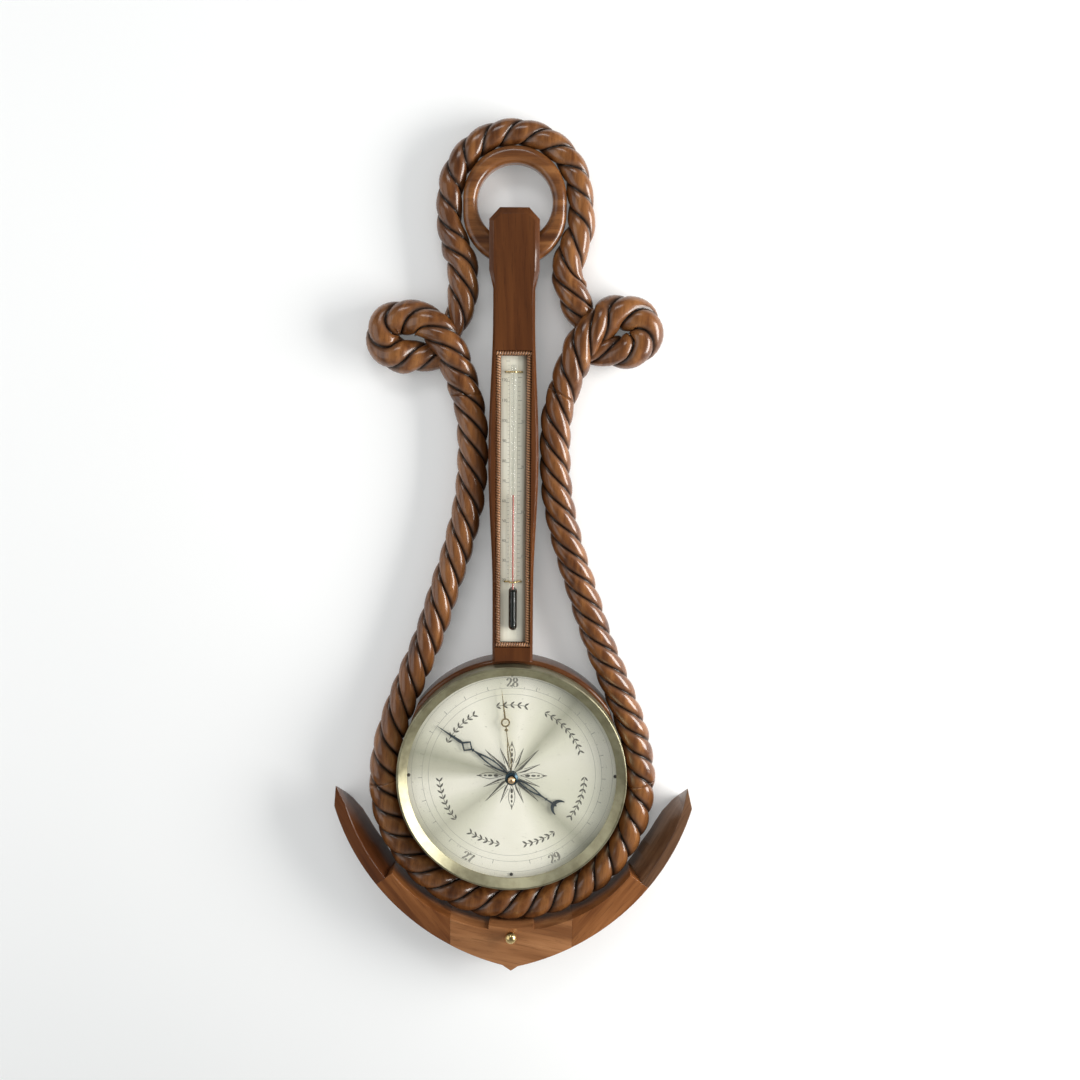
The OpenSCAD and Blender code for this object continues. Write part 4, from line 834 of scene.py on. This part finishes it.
def petal(a, low, length, swing):
    for side in (-1, 1):
        marks.ribbon([around(low + length * i / 12, a + side * swing * sin(pi * i / 12) / (1 + i / 12))
                      for i in range(13)], 0.5)
    for r, long, wide in ((14.5, 2.4, 1.3), (20.0, 2.2, 1.0), (24.5, 1.5, 0.8), (30.0, 2.8, 0.5)):
        drop(r, a, long, wide)


for k in range(16):
    a = 22.5 * k
    if k % 4 == 0:
        petal(a, 8, 23, 13)
    elif k % 2 == 0:
        rose_point(a, 11.0, 34.5, 12)
    else:
        rose_point(a, 13.0, 28.0, 7)
print("rose drawn")

# %% [markdown]
# Round the rose run seven short sprigs of laurel, a common filler on old dials. A sprig is a thin
# stem on a circle with a pair of leaves every few degrees, and each leaf is a small pointed oval.

# %% Laurel sprigs
SPRIG_R, LEAF_L, LEAF_W, LEAF_STEP, LEAF_LEAN, LEAF_BACK = 67, 5.2, 1.7, 5.2, 38, 1.5


def leaf(a, lean):
    along = Vector(around(1, a + 90 - lean))
    out = Vector((-along.y, along.x))
    sides = [(t, sin(pi * t) * side * LEAF_W / 2) for side, steps in ((1, range(7)), (-1, range(5, 0, -1)))
             for t in (i / 6 for i in steps)]
    marks.shape([Vector(around(SPRIG_R, a)) + along * t * LEAF_L + out * w for t, w in sides])


def sprig(middle, spread):
    count = round(spread / LEAF_STEP)
    marks.ribbon([around(SPRIG_R, middle + spread * (i / 24 - 0.5)) for i in range(25)], 0.5)
    for i in range(count + 1):
        for lean in (-LEAF_LEAN, LEAF_LEAN):
            leaf(middle + spread * (i / count - 0.5) - LEAF_BACK, lean)


for middle, spread in ((0, 22), (49, 42), (109, 34), (157, 24), (203, 24), (249, 34), (314, 30)):
    sprig(middle, spread)
dress(marks.piece("dial_print"), printed_ink, slot="silvered_dial")
print("seven sprigs")

# %% [markdown]
# ## The hands
# The solid hands are plain blades of the right reach. The real ones are sawn from thin sheet: the
# blued hand opens into a long leaf near the hub, then a hollow diamond, and ends in a point, with a
# crescent on its tail. The brass one has a leaf and a ring. A flat curve with holes gives such an
# outline, and its extrusion is the sheet. Only one side is written down, as half width and reach,
# and mirrored for the other.

# %% Saw a hand from sheet
def long_leaf(low, high, width):
    """The leaf's side between its two ends, where the width is nothing."""
    return [(width * sin(pi * i / 12) ** 0.8, low + (high - low) * i / 12) for i in range(1, 12)]


def arc(wide, high, middle, angles):
    """Half of an oval; the angles run from its low end at 0 to its high end at 180."""
    return [(wide * sin(radians(a)), middle - high * cos(radians(a))) for a in angles]


def sawn(name, profiles, low, thick, angle, finish, body, slot, node):
    """The first profile is the blade, the others are its holes; angle is clockwise from the top."""
    curve = bpy.data.curves.new(name, "CURVE")
    curve.dimensions, curve.fill_mode = "2D", "BOTH"
    curve.extrude = thick / 2 * MM
    for profile in profiles:
        outline = profile + [(-w, r) for w, r in reversed(profile) if w]
        points = curve.splines.new("POLY")
        points.points.add(len(outline) - 1)
        points.use_cyclic_u = True
        for point, (x, y) in zip(points.points, outline):
            point.co = (x * MM, y * MM, 0, 1)
    piece = add(name, curve)
    piece.matrix_world = stood_up(low + thick / 2) @ Matrix.Rotation(radians(-angle), 4, "Z")
    return dress(piece, finish, body, slot, node)


print("a leaf's side has", len(long_leaf(3, 41, 3)), "points")


# %% Three pieces of sheet and a hub
HAND_LOW, HAND_T, HAND_ANGLE, SET_LOW, SET_T, SET_ANGLE = 31.4, 0.6, -55.6, 33.4, 0.45, -6.6
BLUED = METALS["blued_steel"], "pressure_pointer", "blued_steel", "pressure_hand"
blade = [(0, 3), *long_leaf(3.2, 41, 2.9), (0.6, 41), (0.6, 42.4), (1.8, 43.3), (0.6, 44.2), (5.6, 49.8),
         (0.9, 55.6), (1.4, 58), (0, 84)]
leaf_hole = [(0, 9), *long_leaf(9, 35, 1.7), (0, 35)]
diamond_hole = [(0, 45.6), (4.1, 49.8), (0, 54)]
sawn("blued_hand", [blade, leaf_hole, diamond_hole], HAND_LOW, HAND_T, HAND_ANGLE, *BLUED)

crescent = arc(7.6, 8.4, 53.5, range(6, 97, 10)) + arc(7.4, 7.9, 56.6, range(70, 4, -10))
tail = [(0, 3), *long_leaf(3.2, 35, 2.5), (0.6, 35), (0.6, 38), (1.7, 38.8), (0.6, 39.6), (0.7, 45),
        *crescent, (0, 50.6)]
tail_hole = [(0, 9), *long_leaf(9, 30, 1.4), (0, 30)]
sawn("blued_tail", [tail, tail_hole], HAND_LOW + 0.02, HAND_T, HAND_ANGLE + 180, *BLUED)

set_blade = [(0, 2), *long_leaf(2.2, 36, 1.7), (0.4, 36), (0.4, 43), (1.9, 44.5), (0.5, 46), (0.5, 47.4),
             *arc(4.2, 4.2, 51.6, range(12, 169, 12)), (0.9, 56.6), (0, 84)]
set_hole = [(0, 8), *long_leaf(8, 31, 0.9), (0, 31)]
ring_hole = arc(2.8, 2.8, 51.6, range(0, 181, 15))
sawn("brass_hand", [set_blade, set_hole, ring_hole], SET_LOW, SET_T, SET_ANGLE, METALS["brass"],
     "set_pointer", "brass", "set_hand")
dress(flat_disc("blued_hub", 1.4, 5.2, HAND_LOW - 0.3, HAND_LOW + 1.2, 48), *BLUED)
print("two hands")

# %% [markdown]
# ## The thermometer's scale
# The scale is an ivory-coloured plate with two rows of figures and their lines. On the real piece
# they are engraved and filled with black, so they are as fine as a pencil line. The plate carries a
# painted shadow along its right edge, where the carved bead shades it, and is a little darker at the left.

# %% Ivory plate
ivory = Finish("ivory_scale", Roughness=0.45, Specular_IOR_Level=0.4)
place = ivory.place()
grain = ivory.noise(ivory.stretched(place, 300, 300, 14), 3)
stain = ivory.noise(ivory.stretched(place, 40, 40, 16), 3)
color = ivory.ramp(grain * 0.5 + stain * 0.5, (0.35, (0.66, 0.63, 0.50)), (0.62, (0.80, 0.78, 0.67)))
across = ivory.node("SeparateXYZ", {}, [place], "X") / MM
# Painted shadow of the right-hand bead over the plate's right edge, speckled by the grain, and a slight
# darkening near the left edge.
painted_shadow_and_dark_left = ((across - 6.2) * 0.2 + (grain - 0.5) * (across > 5.0)).held() + ((-8.0 - across) * 0.1).held()
color = ivory.mix(painted_shadow_and_dark_left, color, (0.17, 0.125, 0.08))
ivory.shade(Base_Color=color, Roughness=0.38 + stain * 0.15, Normal=ivory.bump(grain, 0.00002))
print("ivory ready")

# %% Lines and figures of the two scales
# The right row has four degrees to nine of the left one.
PLATE_FRONT, LINES_X, ZERO_Y, DEGREE, LEFT_ZERO = 28, 3.6, -287.7, 4.03, 32
scale_marks = Ink(lambda x, y: on_wall(x, y, PLATE_FRONT + INK_T))
for value in range(-5, 41):
    y = ZERO_Y + value * DEGREE
    end, width = (6.0, 0.28) if value % 5 else (7.4, 0.4)
    scale_marks.ribbon([(LINES_X, y), (end, y)], width)
    if value in (0, 10, 20, 30):
        scale_marks.number(str(value), 8.6, y + 1.4, 2.7, weight=0.16)
for value in range(20, 131, 2):
    y = ZERO_Y + (value - LEFT_ZERO) * DEGREE * 4 / 9
    end, width = (-5.2, 0.24) if value % 10 else (-6.8, 0.4)
    scale_marks.ribbon([(-LINES_X, y), (end, y)], width)
    if value % 10 == 0 and value < 125:
        scale_marks.number(str(value), -8.3, y + 1.5, 2.5, weight=0.16)
for x in (-LINES_X, LINES_X):
    scale_marks.ribbon([(x, ZERO_Y - 21), (x, ZERO_Y + 160)], 0.22)
dress(scale_marks.piece("scale_print"), worn_ink, slot="ivory_scale")
print("scale printed")

# %% [markdown]
# ## Finishes for the other pieces
# The remaining solids are already the right shape: the ring of wood, the brass rings, the plate and
# glass of the thermometer, screws, and the movement behind the dial. They only need their finish.

# %% Hand out the finishes
GIVEN = (
    (METALS["bezel_brass"], "bezel glass_ring"),
    (METALS["brass"], "crown_stud tube_staples movement_plate shaft_posts arbor_cock adjusting_screw"
                      " hanger_plate hanger_screws"),
    (METALS["knob_brass"], "set_knob"),
    (METALS["steel"], "plate_screws spring_screws main_spring main_lever lever_link regulating_shaft"
                      " arbor_chain hand_arbor"),
    (METALS["blued_steel"], "knob_collar hair_spring"),
    (METALS["nickel_silver"], "capsule"),
    (METALS["dark_screws"], "dial_screws"),
    (WOODS["ring"], "shackle_ring"),
    (ivory, "thermometer_plate"),
    (dial_glass, "dial_glass"),
    (tube_glass, "thermometer_tube"),
    (spirit, "thermometer_spirit"))
for finish, nodes in GIVEN:
    for node in nodes.split():
        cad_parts[node].data.materials[0] = finish.material
print(sum(len(nodes.split()) for finish, nodes in GIVEN), "solids dressed")

# %% [markdown]
# ## Studio
# The piece hangs on a white wall. The wall is a little self-lit for the camera and for
# reflections, so that it reads as white and still carries the soft shadow. It is only there from
# the front, so that the back of the barometer can be looked at too, and it lets a ray through that
# starts within a millimetre of it, so that light also reaches the flat backs.

# %% Wall
SELF_LIT, WALL_GAP, TOUCHING, WALL_HALF = 0.14, 0.4, 1.2, 3000
wall = Finish("wall", Roughness=0.9, Specular_IOR_Level=0.1)
cloudy = wall.noise(wall.stretched(wall.place(), 3, 3, 3), 2)
wall.shade(Base_Color=wall.ramp(cloudy, (0.3, (0.93, 0.935, 0.935)), (0.7, (0.945, 0.945, 0.945))))
glow = wall.node("Emission", {}, {"Color": (0.98, 1.0, 0.99), "Strength": 1.0})
lit = wall.node("MixShader", {}, [wall.seen_directly() * SELF_LIT, Value(wall, wall.shader), glow])
from_front = 1 - wall.node("NewGeometry", output="Backfacing")
from_afar = wall.node("LightPath", output="Ray Length") > TOUCHING * MM
shown = wall.node("MixShader", {}, [from_front * from_afar, wall.node("BsdfTransparent"), lit])
wall.fill(wall.tree.nodes["Material Output"].inputs["Surface"], shown)
mesh = bpy.data.meshes.new("wall")
corners = [(x * WALL_HALF, y * WALL_HALF) for x, y in ((-1, -1), (1, -1), (1, 1), (-1, 1))]
mesh.from_pydata([on_wall(x, y, -WALL_GAP) for x, y in corners], [], [(0, 1, 2, 3)])
mesh.materials.append(wall.material)
add("wall", mesh)
print("wall", 2 * WALL_HALF, "mm wide")

# %% [markdown]
# Polished brass and varnish show the room, so the room is more than one grey: dark in front, paler
# towards the floor and white behind. Only rays that see it directly get those. As a light it is an
# even grey from everywhere, which fills the shadows.

# %% Room
class Sky(Finish):
    """The same way of making nodes, for the world."""
    def __init__(self, name):
        world = bpy.data.worlds.new(name)
        world.use_nodes = True
        bpy.context.scene.world = world
        self.tree = world.node_tree


sky = Sky("studio")
toward = sky.node("SeparateXYZ", {}, [sky.node("TexCoord", output="Generated")])
behind = (toward.take("Y") * 4 + 0.5).held()
below = (toward.take("Z") * -1.6 - 0.3).held()
front = sky.mix(below, (0.10, 0.10, 0.10), (0.42, 0.42, 0.40))
room = sky.mix(sky.seen_directly(), (0.40, 0.41, 0.41), sky.mix(behind, front, (1, 1, 1)))
background = sky.node("Background", {}, {"Color": room, "Strength": 1.0})
sky.fill(sky.tree.nodes["World Output"].inputs[0], background)
print("room ready")

# %% [markdown]
# Three broad lamps stand in for the photographer's: the key close by on the right, which models
# the rope, a larger and weaker one at the left, and a small one high in front.

# %% Lamps
AIM = Vector((0, 0, -0.3))


def lamp(name, place, size, power, color=(1, 1, 1)):
    light = bpy.data.lights.new(name, "AREA")
    light.shape, light.size, light.size_y, light.energy, light.color = "RECTANGLE", *size, power, color
    piece = add(name, light)
    piece.location = place
    piece.rotation_euler = (AIM - Vector(place)).to_track_quat("-Z", "Y").to_euler()
    print(name, power, "W")


lamp("key", (0.98, -0.42, -0.28), (0.40, 0.95), 20, (1.0, 0.985, 0.96))
lamp("left_panel", (-1.1, -0.75, -0.2), (1.1, 1.4), 6.0)
lamp("top_panel", (-0.15, -1.05, 0.95), (0.8, 0.35), 4.5)
bpy.context.scene.view_settings.view_transform = "Standard"
